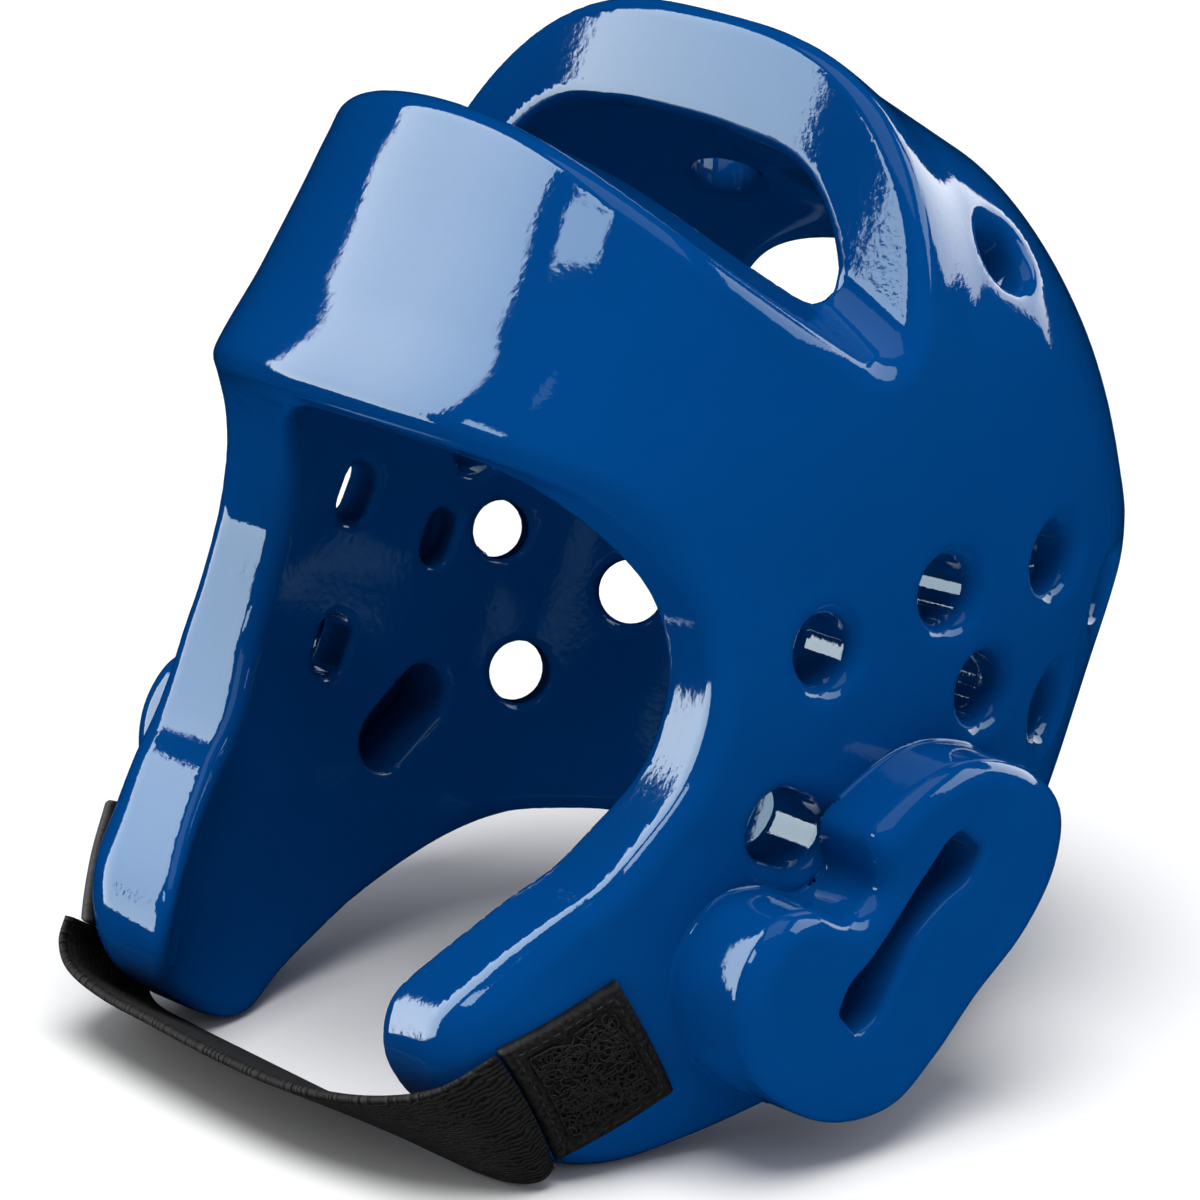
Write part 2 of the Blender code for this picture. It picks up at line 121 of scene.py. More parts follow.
def spline(rows: Table | Array, steps: int, closed: bool = False) -> Array:
    """Draw a Catmull-Rom curve through a list of rows.

    Args:
        rows: The rows that the curve passes through.
        steps: How many points each stretch gets.
        closed: Whether the last row leads back to the first.

    Returns:
        The points of the curve, one to a row.
    """
    knots = np.array(rows, dtype=float)
    count = len(knots)
    t = (np.arange(steps) / steps)[:, None]
    line = []
    for i in range(count if closed else count - 1):
        if closed:
            a, b, c, d = (knots[(i + k) % count] for k in (-1, 0, 1, 2))
        else:
            a, b, c, d = (knots[min(max(i + k, 0), count - 1)] for k in (-1, 0, 1, 2))
        bend = (2 * a - 5 * b + 4 * c - d) * t**2 + (3 * b - a - 3 * c + d) * t**3
        line.append(0.5 * (2 * b + (c - a) * t + bend))
    if not closed:
        line.append(knots[-1:])
    return np.concatenate(line)


@dataclass(frozen=True)
class Lean:
    """How the head's upright frame leans back on the floor."""

    tilt: float = 26.0
    seat: tuple[float, float, float] = (0.0, 0.0130, 0.1012)

    def matrix(self) -> Matrix:
        """The move from the head's frame to the floor's."""
        return Matrix.Translation(self.seat) @ Matrix.Rotation(math.radians(-self.tilt), 4, "X")

    def to_floor(self, points: Array) -> Array:
        """Move points from the head's frame to the floor's.

        Args:
            points: One point to a row.

        Returns:
            The same points in the floor's frame.
        """
        move = np.array(self.matrix())
        return points @ move[:3, :3].T + move[:3, 3]

    def turned(self, directions: Array) -> Array:
        """Turn directions from the head's frame to the floor's."""
        return directions @ np.array(self.matrix())[:3, :3].T

    def height(self, place: Place) -> Array:
        """How high places of the head's frame lie over the floor."""
        tilt = math.radians(self.tilt)
        return place[2] * math.cos(tilt) - place[1] * math.sin(tilt) + self.seat[2]


@dataclass(frozen=True)
class HeadForm:
    """The skin of the foam: level sections up to the temples, and a dome over them.

    Each level gives height, half width, front, back, side wall and front wall.
    """

    levels: Table = (
        (-0.155, 0.0640, 0.0920, 0.0750, 0.0240, 0.0040),
        (-0.140, 0.0740, 0.1030, 0.0850, 0.0250, 0.0090),
        (-0.120, 0.0840, 0.1110, 0.0930, 0.0255, 0.0155),
        (-0.106, 0.0885, 0.1135, 0.0970, 0.0265, 0.0173),
        (-0.089, 0.0915, 0.1140, 0.1000, 0.0262, 0.0175),
        (-0.074, 0.0930, 0.1210, 0.1015, 0.0255, 0.0235),
        (-0.056, 0.0945, 0.1400, 0.1030, 0.0250, 0.0330),
        (-0.040, 0.0960, 0.1750, 0.1045, 0.0237, 0.0450),
        (-0.022, 0.0965, 0.1800, 0.1060, 0.0230, 0.0530),
        (-0.008, 0.0960, 0.1500, 0.1070, 0.0222, 0.0360),
        (0.008, 0.0955, 0.1270, 0.1070, 0.0215, 0.0215),
        (0.020, 0.0950, 0.1270, 0.1070, 0.0215, 0.0215),
        (0.045, 0.0950, 0.1205, 0.1070, 0.0215, 0.0215),
        (0.065, 0.0950, 0.1180, 0.1070, 0.0200, 0.0240),
        (0.090, 0.0950, 0.1195, 0.1070, 0.0175, 0.0300),
        (0.140, 0.0950, 0.1200, 0.1070, 0.0175, 0.0330),
    )
    back_wall: float = 0.020
    crown: float = 0.137
    crown_wall: float = 0.018
    dome_start: float = 0.020
    crown_slope: float = 1.15
    crown_slope_from: float = -0.054
    front_power: float = 3.0
    back_power: float = 2.05
    side_arch: float = 2.7
    front_arch: float = 3.5
    back_arch: float = 2.9

    def sizes(self, height: Array, inside: bool) -> Place:
        """Read the section at a height.

        Args:
            height: Heights in the head's frame.
            inside: Whether the inner skin is meant.

        Returns:
            Half width, front and back of the section at each height.
        """
        rows = np.array(self.levels)
        keys = rows[:, 0]
        slopes = np.gradient(rows[:, 1:], keys, axis=0)
        fine = np.linspace(keys[0], keys[-1], 1401)
        i = np.clip(np.searchsorted(keys, fine, side="right") - 1, 0, len(keys) - 2)
        span = (keys[i + 1] - keys[i])[:, None]
        t = (fine - keys[i])[:, None] / span
        start = (2 * t**3 - 3 * t**2 + 1) * rows[i, 1:] + (t**3 - 2 * t**2 + t) * span * slopes[i]
        end = (3 * t**2 - 2 * t**3) * rows[i + 1, 1:] + (t**3 - t**2) * span * slopes[i + 1]
        width, front, back, side_wall, front_wall = (start + end).T
        if inside:
            width, front, back = width - side_wall, front - front_wall, back - self.back_wall
        return tuple(np.interp(height, fine, column) for column in (width, front, back))

    def gauge(self, place: Place, inside: bool) -> Array:
        """Tell how far out places lie, as a share of the skin.

        Args:
            place: Places in the head's frame.
            inside: Whether the inner skin is meant.

        Returns:
            1 on the skin, less inside it and more outside.
        """
        x, y, z = place
        width, front, back = self.sizes(z, inside)
        behind = y > 0.0
        power = np.where(behind, self.back_power, self.front_power)
        across = (np.abs(x) / width) ** power
        along = (np.abs(y) / np.where(behind, back, front)) ** power
        total = np.maximum(across + along, 1e-9)
        long_arch = np.where(behind, self.back_arch, self.front_arch)
        arch = self.side_arch + (long_arch - self.side_arch) * along / total
        crown = self.crown - (self.crown_wall if inside else 0.0) - self.dome_start
        slope = np.maximum(1.0 - self.crown_slope * (y - self.crown_slope_from), 0.2)
        rise = np.maximum(z - self.dome_start, 0.0) / (crown * slope)
        return (total ** (arch / power) + rise**arch) ** (1.0 / arch)

    def distance(self, place: Place, inside: bool) -> Array:
        """Measure the distance to the skin, negative inside it.

        Args:
            place: Places in the head's frame.
            inside: Whether the inner skin is meant.

        Returns:
            Distances in metres, good near the skin.
        """
        step = 0.0005
        here = self.gauge(place, inside)
        total = np.zeros_like(here)
        for axis in range(3):
            moved = [part + step if k == axis else part for k, part in enumerate(place)]
            total += ((self.gauge(tuple(moved), inside) - here) / step) ** 2
        return (here - 1.0) / np.maximum(np.sqrt(total), 2.0)

    def skin_x(self, depth: Array, height: Array) -> Array:
        """Read the half width of the outer skin below the dome.

        Args:
            depth: Depths in the head's frame.
            height: Heights in the head's frame.

        Returns:
            The half width at each place.
        """
        width, front, back = self.sizes(height, inside=False)
        power = np.where(depth > 0.0, self.back_power, self.front_power)
        reach = np.where(depth > 0.0, back, front)
        return width * (1.0 - np.minimum(np.abs(depth) / reach, 0.999) ** power) ** (1.0 / power)


class SideOutline:
    """A closed line on the head's side view, as a smooth map of signed distances, negative inside."""

    def __init__(self, points: Array, cell: float = 0.001, margin: float = 0.030, soften: int = 2) -> None:
        """Work the map out.

        Args:
            points: Depth and height of the line's points.
            cell: Spacing of the map.
            margin: How far the map reaches past the line.
            soften: How many times the map is blurred by a cell.
        """
        self.cell = cell
        self.low = points.min(axis=0) - margin
        counts = np.ceil((points.max(axis=0) + margin - self.low) / cell).astype(int) + 1
        lines = [self.low[i] + cell * np.arange(counts[i]) for i in (0, 1)]
        depth, height = np.meshgrid(*lines, indexing="ij")
        nearest = np.full(depth.shape, 1.0)
        inside = np.zeros(depth.shape, dtype=bool)
        for start, end in zip(points, np.roll(points, -1, axis=0)):
            run = end - start
            if run @ run < 1e-14:
                continue
            share = ((depth - start[0]) * run[0] + (height - start[1]) * run[1]) / (run @ run)
            share = np.clip(share, 0.0, 1.0)
            gap = np.hypot(depth - start[0] - share * run[0], height - start[1] - share * run[1])
            nearest = np.minimum(nearest, gap)
            if abs(run[1]) > 1e-12:
                crossing = (start[1] > height) != (end[1] > height)
                inside ^= crossing & (depth < start[0] + (height - start[1]) * run[0] / run[1])
        self.values = np.where(inside, -nearest, nearest)
        for _ in range(soften):
            for axis in (0, 1):
                before = np.roll(self.values, 1, axis=axis)
                after = np.roll(self.values, -1, axis=axis)
                self.values = 0.5 * self.values + 0.25 * (before + after)

    def at(self, depth: Array, height: Array) -> Array:
        """Read the map with a quadratic B-spline.

        Args:
            depth: Depths on the side view.
            height: Heights on the side view.

        Returns:
            The signed distance at each place.
        """
        columns, rows = self.values.shape
        u = np.clip((depth - self.low[0]) / self.cell, 1.0, columns - 2.001)
        v = np.clip((height - self.low[1]) / self.cell, 1.0, rows - 2.001)
        i = np.rint(u).astype(int)
        k = np.rint(v).astype(int)
        s, t = u - i, v - k
        across = (0.5 * (0.5 - s) ** 2, 0.75 - s * s, 0.5 * (0.5 + s) ** 2)
        along = (0.5 * (0.5 - t) ** 2, 0.75 - t * t, 0.5 * (0.5 + t) ** 2)
        total = np.zeros(u.shape)
        for a, wa in enumerate(across):
            for b, wb in enumerate(along):
                total += wa * wb * self.values[i + a - 1, k + b - 1]
        return total


@dataclass(frozen=True)
class FieldSkin:
    """Turns a distance field into an even skin with exact points and normals."""

    cell: float
    rounds: int = 5
    block: int = 5
    batch: int = 2500
    reach: float = 1.35
    easing: float = 0.55
    least_slope: float = 0.25

    @staticmethod
    def slope(shape: Shape, points: Array, step: float = 0.0003) -> tuple[Array, Array]:
        """Read a field and its gradient.

        Args:
            shape: The field, called with a place.
            points: One point to a row.
            step: The reach of the differences.

        Returns:
            The field's values and its gradients.
        """
        place = tuple(points.T)
        gradient = np.empty_like(points)
        for axis in range(3):
            ahead = tuple(part + step if k == axis else part for k, part in enumerate(place))
            behind = tuple(part - step if k == axis else part for k, part in enumerate(place))
            gradient[:, axis] = (shape(ahead) - shape(behind)) / (2 * step)
        return shape(place), gradient

    def settle(self, shape: Shape, points: Array) -> Array:
        """Move points onto the field's zero level.

        Args:
            shape: The field, called with a place.
            points: One point to a row.

        Returns:
            The moved points, none of them more than a cell away along each axis.
        """
        value, gradient = self.slope(shape, points)
        steep = np.maximum((gradient**2).sum(axis=1), self.least_slope)
        move = np.clip(value / steep, -self.cell, self.cell)
        return points - gradient * move[:, None]

    def sample(self, shape: Shape, low: Array, counts: Array) -> Array:
        """Read the field on a lattice, finely only in the blocks that the surface can reach.

        Args:
            shape: The field, called with a place.
            low: The lattice's lowest corner.
            counts: How many points it has each way, a whole number of blocks.

        Returns:
            The values as a three-way array.
        """
        block = self.block
        blocks = counts // block
        middle = [low[k] + self.cell * (block * np.arange(blocks[k]) + (block - 1) / 2) for k in range(3)]
        coarse = shape(tuple(np.meshgrid(*middle, indexing="ij")))
        near = np.abs(coarse) < self.cell * block * self.reach
        values = np.sign(coarse)
        for axis in range(3):
            values = np.repeat(values, block, axis)
        values = values * 3 * self.cell
        values = values.reshape(blocks[0], block, blocks[1], block, blocks[2], block)
        steps = self.cell * np.arange(block)
        inner = [part.reshape(-1) for part in np.meshgrid(steps, steps, steps, indexing="ij")]
        chosen = np.argwhere(near)
        for start in range(0, len(chosen), self.batch):
            some = chosen[start : start + self.batch]
            corner = low + self.cell * block * some
            place = tuple(corner[:, k, None] + inner[k][None, :] for k in range(3))
            found = shape(place).reshape(-1, block, block, block)
            values[some[:, 0], :, some[:, 1], :, some[:, 2], :] = found
        return values.reshape(tuple(counts)).astype(np.float32)

    def grow(self, name: str, shape: Shape, low: Array, high: Array,
             lean: Lean) -> bpy.types.Object:
        """Build the skin of a field.

        Args:
            name: The new object's name.
            shape: The field, called with a place of the head's frame.
            low: The lowest corner of the space to search.
            high: The highest corner of it.
            lean: How the head lies on the floor.

        Returns:
            The new object, in the floor's frame.
        """
        counts = np.ceil((high - low) / self.cell / self.block).astype(int) * self.block
        volume = openvdb.FloatGrid(3 * self.cell)
        values = np.clip(self.sample(shape, low, counts), -3 * self.cell, 3 * self.cell)
        volume.copyFromArray(values, tolerance=1e-7)
        found, quads = volume.convertToQuads(isovalue=0.0)
        points = low + self.cell * np.array(found, dtype=float)
        quads = np.array(quads, dtype=np.int64)
        pairs = np.concatenate([quads[:, [i, (i + 1) % 4]] for i in range(4)])
        pairs = np.unique(np.sort(pairs, axis=1), axis=0)
        ends = np.concatenate([pairs, pairs[:, ::-1]])
        joined = np.bincount(ends[:, 0], minlength=len(points)).astype(float)
        points = self.settle(shape, points)
        for _ in range(self.rounds):
            sums = [np.bincount(ends[:, 0], points[ends[:, 1], k], len(points)) for k in range(3)]
            mean = np.stack([total / joined for total in sums], axis=1)
            points = self.settle(shape, points + self.easing * (mean - points))
        points = self.settle(shape, points)
        gradient = self.slope(shape, points)[1]
        normals = gradient / np.maximum(np.linalg.norm(gradient, axis=1), 1e-9)[:, None]
        first = points[quads[:, 1]] - points[quads[:, 0]]
        second = points[quads[:, 2]] - points[quads[:, 0]]
        facing = (np.cross(first, second) * normals[quads[:, 0]]).sum(axis=1)
        if np.median(facing) < 0:
            quads = quads[:, ::-1]
        return mesh_object(name, lean.to_floor(points), quads, lean.turned(normals))


def mesh_object(name: str, points: Array, faces: Array, normals: Array | None = None) -> bpy.types.Object:
    """Make an object from points and faces.

    Args:
        name: The new object's name.
        points: One point to a row.
        faces: One face's corner numbers to a row.
        normals: Normals to shade with, one for each point.

    Returns:
        The new object, smooth shaded.
    """
    mesh = bpy.data.meshes.new(name)
    mesh.from_pydata(points.tolist(), [], faces.tolist())
    mesh.shade_smooth()
    if normals is not None:
        mesh.normals_split_custom_set_from_vertices(normals.tolist())
    obj = bpy.data.objects.new(name, mesh)
    bpy.context.scene.collection.objects.link(obj)
    return obj


class Recipe:
    """A material in the making, with short ways to add and join its nodes."""

    def __init__(self, name: str) -> None:
        """Start a material that holds a bare shader.

        Args:
            name: The new material's name.
        """
        self.material = bpy.data.materials.new(name)
        self.material.use_nodes = True
        self.tree = self.material.node_tree
        self.shader = self.tree.nodes["Principled BSDF"]

    def set(self, **values: float | Colour) -> None:
        """Set plain values on the shader's sockets.

        Args:
            values: A number or a colour for each socket, named with underscores for spaces.
        """
        for name, value in values.items():
            socket = self.shader.inputs[name.replace("_", " ")]
            socket.default_value = (*value, 1.0) if isinstance(value, tuple) and len(value) == 3 else value

    def node(self, kind: str, **settings: object) -> bpy.types.Node:
        """Add a node.

        Args:
            kind: The node's type without ShaderNode.
            settings: Its properties, or its sockets by name with underscores for spaces.

        Returns:
            The new node.
        """
        made = self.tree.nodes.new("ShaderNode" + kind)
        for name, value in settings.items():
            if hasattr(made, name):
                setattr(made, name, value)
            else:
                made.inputs[name.replace("_", " ")].default_value = value
        return made

    def join(self, source: bpy.types.NodeSocket, target: bpy.types.NodeSocket) -> None:
        """Link two sockets."""
        self.tree.links.new(source, target)

    def place(self) -> bpy.types.NodeSocket:
        """The object's own coordinates, in metres."""
        return self.node("TexCoord").outputs["Object"]

    def chart(self) -> bpy.types.NodeSocket:
        """The piece's laid-out coordinates, in metres."""
        return self.node("UVMap").outputs["UV"]

    def noise(self, where: bpy.types.NodeSocket, scale: float, detail: float = 2.0) -> bpy.types.NodeSocket:
        """Add plain noise.

        Args:
            where: The coordinates to follow.
            scale: How fine the noise is.
            detail: How many finer layers it has.

        Returns:
            The noise's height socket.
        """
        made = self.node("TexNoise", Scale=scale, Detail=detail, Roughness=0.5)
        self.join(where, made.inputs["Vector"])
        return made.outputs["Fac"]

    def ramp(self, height: bpy.types.NodeSocket, stops: list[tuple[float, Colour]]) -> bpy.types.NodeSocket:
        """Turn a height into a colour.

        Args:
            height: What the colour follows.
            stops: Places on the ramp, each with a colour.

        Returns:
            The ramp's colour socket.
        """
        made = self.node("ValToRGB")
        elements = made.color_ramp.elements
        while len(elements) < len(stops):
            elements.new(0.5)
        for element, (position, colour) in zip(elements, stops):
            element.position = position
            element.color = (*colour, 1.0)
        self.join(height, made.inputs["Fac"])
        return made.outputs["Color"]

    def spread(self, height: bpy.types.NodeSocket, low: float, high: float) -> bpy.types.NodeSocket:
        """Map a height from 0 to 1 onto a range.

        Args:
            height: What to map.
            low: What 0 becomes.
            high: What 1 becomes.

        Returns:
            The mapped socket.
        """
        made = self.node("MapRange")
        made.inputs["To Min"].default_value = low
        made.inputs["To Max"].default_value = high
        self.join(height, made.inputs["Value"])
        return made.outputs["Result"]

    def bump(self, height: bpy.types.NodeSocket, distance: float, strength: float = 1.0,
             under: bpy.types.NodeSocket | None = None) -> bpy.types.NodeSocket:
        """Turn a height into a bent normal.

        Args:
            height: The relief, from 0 to 1.
            distance: How deep the relief is, in metres.
            strength: How much of it shows.
            under: A normal that this one adds to.

        Returns:
            The normal socket.
        """
        made = self.node("Bump", Strength=strength, Distance=distance)
        self.join(height, made.inputs["Height"])
        if under is not None:
            self.join(under, made.inputs["Normal"])
        return made.outputs["Normal"]


@dataclass(frozen=True)
class FoamSkin:
    """Glossy vinyl skin, dipped over the foam."""

    deep: Colour = (0.0002, 0.050, 0.212)
    bright: Colour = (0.0005, 0.059, 0.245)
    glint: Colour = (0.62, 0.86, 1.0)
    roughness: tuple[float, float] = (0.03, 0.06)

    def material(self) -> bpy.types.Material:
        """Make the blue skin, with its slow waves, its fine grain and a cloudy gloss.

        Returns:
            The new material.
        """
        recipe = Recipe("dipped_foam_skin")
        where = recipe.place()
        cloud = recipe.noise(where, 14.0, 3.0)
        colour = recipe.ramp(cloud, [(0.3, self.deep), (0.7, self.bright)])
        recipe.join(colour, recipe.shader.inputs["Base Color"])
        smear = recipe.noise(where, 60.0, 4.0)
        recipe.join(recipe.spread(smear, *self.roughness), recipe.shader.inputs["Roughness"])
        waves = recipe.bump(recipe.noise(where, 28.0, 1.0), 0.00022)
        grain = recipe.bump(recipe.noise(where, 480.0, 3.0), 0.000035, 1.0, waves)
        recipe.join(grain, recipe.shader.inputs["Normal"])
        recipe.set(Metallic=0.0, IOR=1.5, Specular_IOR_Level=0.5, Specular_Tint=self.glint)
        return recipe.material


@dataclass(frozen=True)
class Webbing:
    """Black elastic webbing with a crinkled weave."""

    dark: Colour = (0.0015, 0.0015, 0.0018)
    light: Colour = (0.0115, 0.0115, 0.012)

    def material(self) -> bpy.types.Material:
        """Make the weave: wandering ridges of yarn over a fine rib.

        Returns:
            The new material.
        """
        recipe = Recipe("elastic_webbing")
        where = recipe.chart()
        ridges = recipe.node("TexWave", Scale=260.0, Distortion=9.0, Detail=3.0, Detail_Scale=1.2)
        ridges.bands_direction = "Y"
        recipe.join(where, ridges.inputs["Vector"])
        yarn = ridges.outputs["Fac"]
        colour = recipe.ramp(yarn, [(0.15, self.dark), (0.9, self.light)])
        recipe.join(colour, recipe.shader.inputs["Base Color"])
        rib = recipe.bump(recipe.noise(where, 2200.0, 2.0), 0.0002, 0.7)
        recipe.join(recipe.bump(yarn, 0.0006, 1.0, rib), recipe.shader.inputs["Normal"])
        recipe.set(Metallic=0.0, Roughness=0.68, Specular_IOR_Level=0.25)
        recipe.set(Sheen_Weight=0.03, Sheen_Roughness=0.5)
        return recipe.material


@dataclass(frozen=True)
class LoopTape:
    """Black fastening tape: its ground, its loops and its binding."""

    ground: Colour = (0.004, 0.004, 0.0045)
    yarn: Colour = (0.020, 0.020, 0.021)
    loop_yarn: Colour = (0.035, 0.035, 0.036)
    seam_thread: Colour = (0.045, 0.045, 0.046)

    def material(self) -> bpy.types.Material:
        """Make the tape's woven ground.

        Returns:
            The new material.
        """
        recipe = Recipe("loop_tape_ground")
        where = recipe.chart()
        weave = recipe.noise(where, 900.0, 3.0)
        colour = recipe.ramp(weave, [(0.3, self.ground), (0.8, self.yarn)])
        recipe.join(colour, recipe.shader.inputs["Base Color"])
        recipe.join(recipe.bump(weave, 0.0004), recipe.shader.inputs["Normal"])
        recipe.set(Metallic=0.0, Roughness=0.62, Specular_IOR_Level=0.4)
        return recipe.material

    def yarn_material(self, name: str, colour: Colour) -> bpy.types.Material:
        """Make a twisted yarn of a colour.

        Args:
            name: The new material's name.
            colour: The yarn's lighter colour.

        Returns:
            The new material.
        """
        recipe = Recipe(name)
        twist = recipe.noise(recipe.place(), 2500.0, 2.0)
        shade = recipe.ramp(twist, [(0.25, self.ground), (0.8, colour)])
        recipe.join(shade, recipe.shader.inputs["Base Color"])
        recipe.join(recipe.bump(twist, 0.0001), recipe.shader.inputs["Normal"])
        recipe.set(Metallic=0.0, Roughness=0.5, Specular_IOR_Level=0.5)
        return recipe.material


@dataclass
class FoamShell:
    """The one-piece foam shell with its openings and its vents.

    The lower edge gives depth and height on the inside of the wall, and how far its outer side drops
    and comes forward. Its stations are the half widths where the inner side, the middle and the outer
    side of the wall are cut. The band's top is a height, a tilt, an arch and a fall towards the back.
    The crown's edge is a depth and a bow, and its lip a roll outward, a roll inward and a reach. The
    shoulder is a slope, a distance and a roll. A vent gives x, depth, height, aim, rise, radius,
    stretch, the turn that the stretch lies at, and how far it reaches either way, with its angles in
    degrees. A pair of rolls is the edge's radius outside and inside the wall.
    """

    form: HeadForm
    lean: Lean
    lower_edge: Table = (
        (-0.1500, 0.0160, -0.003, 0.0000),
        (-0.1120, 0.0160, -0.003, 0.0000),
        (-0.0950, 0.0110, -0.002, 0.0010),
        (-0.0745, 0.0000, 0.000, 0.0060),
        (-0.0645, -0.0120, 0.000, 0.0084),
        (-0.0611, -0.0220, 0.000, 0.0084),
        (-0.0603, -0.0360, 0.000, 0.0084),
        (-0.0628, -0.0500, 0.000, 0.0084),
        (-0.0677, -0.0660, 0.000, 0.0084),
        (-0.0748, -0.0780, 0.000, 0.0084),
        (-0.0820, -0.0920, 0.000, 0.0084),
        (-0.0875, -0.1050, 0.000, 0.0084),
        (-0.0880, -0.1130, 0.000, 0.0075),
        (-0.0850, -0.1220, 0.000, 0.0050),
        (-0.0770, -0.1290, 0.000, 0.0030),
        (-0.0640, -0.1325, 0.000, 0.0010),
        (-0.0500, -0.1335, 0.001, 0.0000),
        (-0.0380, -0.1305, 0.004, 0.0000),
        (-0.0250, -0.1170, 0.012, 0.0000),
        (0.0020, -0.0890, 0.018, 0.0000),
        (0.0250, -0.0700, 0.016, 0.0000),
        (0.0470, -0.0600, 0.012, 0.0000),
        (0.0670, -0.0550, 0.008, 0.0000),
        (0.0900, -0.0610, 0.005, 0.0000),
        (0.1120, -0.0665, 0.003, 0.0000),
        (0.1500, -0.0700, 0.003, 0.0000),
    )
    edge_stations: tuple[float, float, float] = (0.040, 0.066, 0.096)
    band_top: tuple[float, float, float, float] = (0.0935, -0.085, -2.2, -0.05)
    band_front: float = -0.114
    crown_edge: tuple[float, float] = (-0.0555, 1.45)
    crescent_corner: float = 0.011
    crown_lip: tuple[float, float, float] = (0.0025, 0.0035, 0.026)
    lip_rise: tuple[float, float] = (-0.010, 0.014)
    lip_fade: tuple[float, float] = (0.020, 0.050)
    shoulder: tuple[float, float, float] = (0.825, 0.1885, 0.018)
    rear_middle: float = 0.081
    rear_half: tuple[float, float] = (0.91, 0.023)
    rear_start: float = 0.020
    left_vents: Table = (
        (0.0950, -0.0420, 0.0000, -8.0, 0.0, 0.0085, 0.0000, 0.0, 0.040),
        (0.0950, -0.0090, 0.0230, -2.0, 3.0, 0.0085, 0.0000, 0.0, 0.040),
        (0.0919, 0.0260, 0.0395, 12.0, 6.0, 0.0085, 0.0000, 0.0, 0.040),
        (0.0774, 0.0627, 0.0369, 38.0, 6.0, 0.0085, 0.0000, 0.0, 0.040),
        (0.0955, -0.0345, -0.0420, -6.0, 0.0, 0.0090, 0.0030, 0.0, 0.040),
        (0.0955, 0.0138, 0.0040, 6.0, 0.0, 0.0085, 0.0000, 0.0, 0.040),
        (0.0860, 0.0465, 0.0055, 27.0, 0.0, 0.0085, 0.0000, 0.0, 0.040),
        (0.0900, 0.0310, -0.0290, 16.0, 0.0, 0.0085, 0.0000, 0.0, 0.040),
        (0.0950, -0.0100, -0.0540, 0.0, 0.0, 0.0075, 0.0100, 55.0, 0.040),
        (0.0755, -0.0080, 0.1046, -3.0, 42.0, 0.0080, 0.0010, 0.0, 0.040),
    )
    right_vents: Table = (
        (0.0840, -0.0398, 0.0000, 22.0, 0.0, 0.0050, 0.0030, 90.0, 0.040),
        (0.0950, -0.0090, 0.0230, -2.0, 3.0, 0.0085, 0.0000, 0.0, 0.040),
        (0.0919, 0.0260, 0.0395, 12.0, 6.0, 0.0085, 0.0000, 0.0, 0.040),
        (0.0774, 0.0627, 0.0369, 38.0, 6.0, 0.0085, 0.0000, 0.0, 0.040),
        (0.0830, -0.0315, -0.0380, 22.0, 0.0, 0.0050, 0.0030, 90.0, 0.040),
        (0.0765, -0.0105, -0.0040, 20.0, 0.0, 0.0045, 0.0030, 90.0, 0.010),
        (0.0840, 0.0160, 0.0030, 38.0, 0.0, 0.0075, 0.0000, 0.0, 0.040),
        (0.0690, 0.0545, -0.0010, 46.0, 0.0, 0.0083, 0.0000, 0.0, 0.040),
        (0.0770, 0.0325, -0.0298, 38.0, 0.0, 0.0080, 0.0000, 0.0, 0.040),
        (0.0840, -0.0040, -0.0500, 8.0, 0.0, 0.0080, 0.0080, 55.0, 0.040),
        (0.0480, 0.0110, 0.1180, 10.0, 62.0, 0.0085, 0.0000, 0.0, 0.040),
    )
    lower_roll: tuple[float, float] = (0.0065, 0.0045)
    crescent_roll: tuple[float, float] = (0.0045, 0.0040)
    rear_roll: tuple[float, float] = (0.0060, 0.0050)
    vent_roll: tuple[float, float] = (0.0054, 0.0022)
    floor_roll: float = 0.002
    outlines: list[SideOutline] = field(default_factory=list)

    def __post_init__(self) -> None:
        """Draw the lower cut at its stations across the head."""
        edge = spline(self.lower_edge, 6)
        inner, middle, outer = self.edge_stations
        for advance, drop in ((0.0, 0.0), ((middle - inner) / (outer - inner), 0.0), (1.0, 1.0)):
            line = np.stack([edge[:, 0] - advance * edge[:, 3], edge[:, 1] - drop * edge[:, 2]], axis=1)
            corners = np.array([(line[-1, 0], -0.200), (line[0, 0], -0.200)])
            self.outlines.append(SideOutline(np.concatenate([line, corners]), soften=4))

    def lower_cut(self, place: Place) -> Array:
        """Measure how deep places lie in what the lower edge cuts away.

        Args:
            place: Places in the head's frame.

        Returns:
            The depths in metres.
        """
        x, y, z = place
        inner, middle, outer = self.edge_stations
        first = np.clip((np.abs(x) - inner) / (middle - inner), 0.0, 1.0)
        second = np.clip((np.abs(x) - middle) / (outer - middle), 0.0, 1.0)
        start, between, end = (outline.at(y, z) for outline in self.outlines)
        return -(start + first * (between - start) + second * (end - between))

    def over_band(self, place: Place) -> Array:
        """Measure how far places lie over the band's arched top.

        Args:
            place: Places in the head's frame.

        Returns:
            The distances in metres.
        """
        x, y, z = place
        height, tilt, arch, fall = self.band_top
        top = height + tilt * x + arch * x * x + fall * (y - self.band_front)
        return (z - top) / np.sqrt(1.0 + (tilt + 2.0 * arch * x) ** 2 + fall * fall)

    def behind_edge(self, place: Place) -> Array:
        """Measure how far places lie behind the crown's front edge.

        Args:
            place: Places in the head's frame.

        Returns:
            The distances in metres.
        """
        x, y, _ = place
        start, bow = self.crown_edge
        return (y - start - bow * x * x) / np.sqrt(1.0 + (2.0 * bow * x) ** 2)

    def crescent_cut(self, place: Place) -> Array:
        """Depth into the crescent over the forehead."""
        return -rounded_max(-self.over_band(place), self.behind_edge(place), self.crescent_corner)

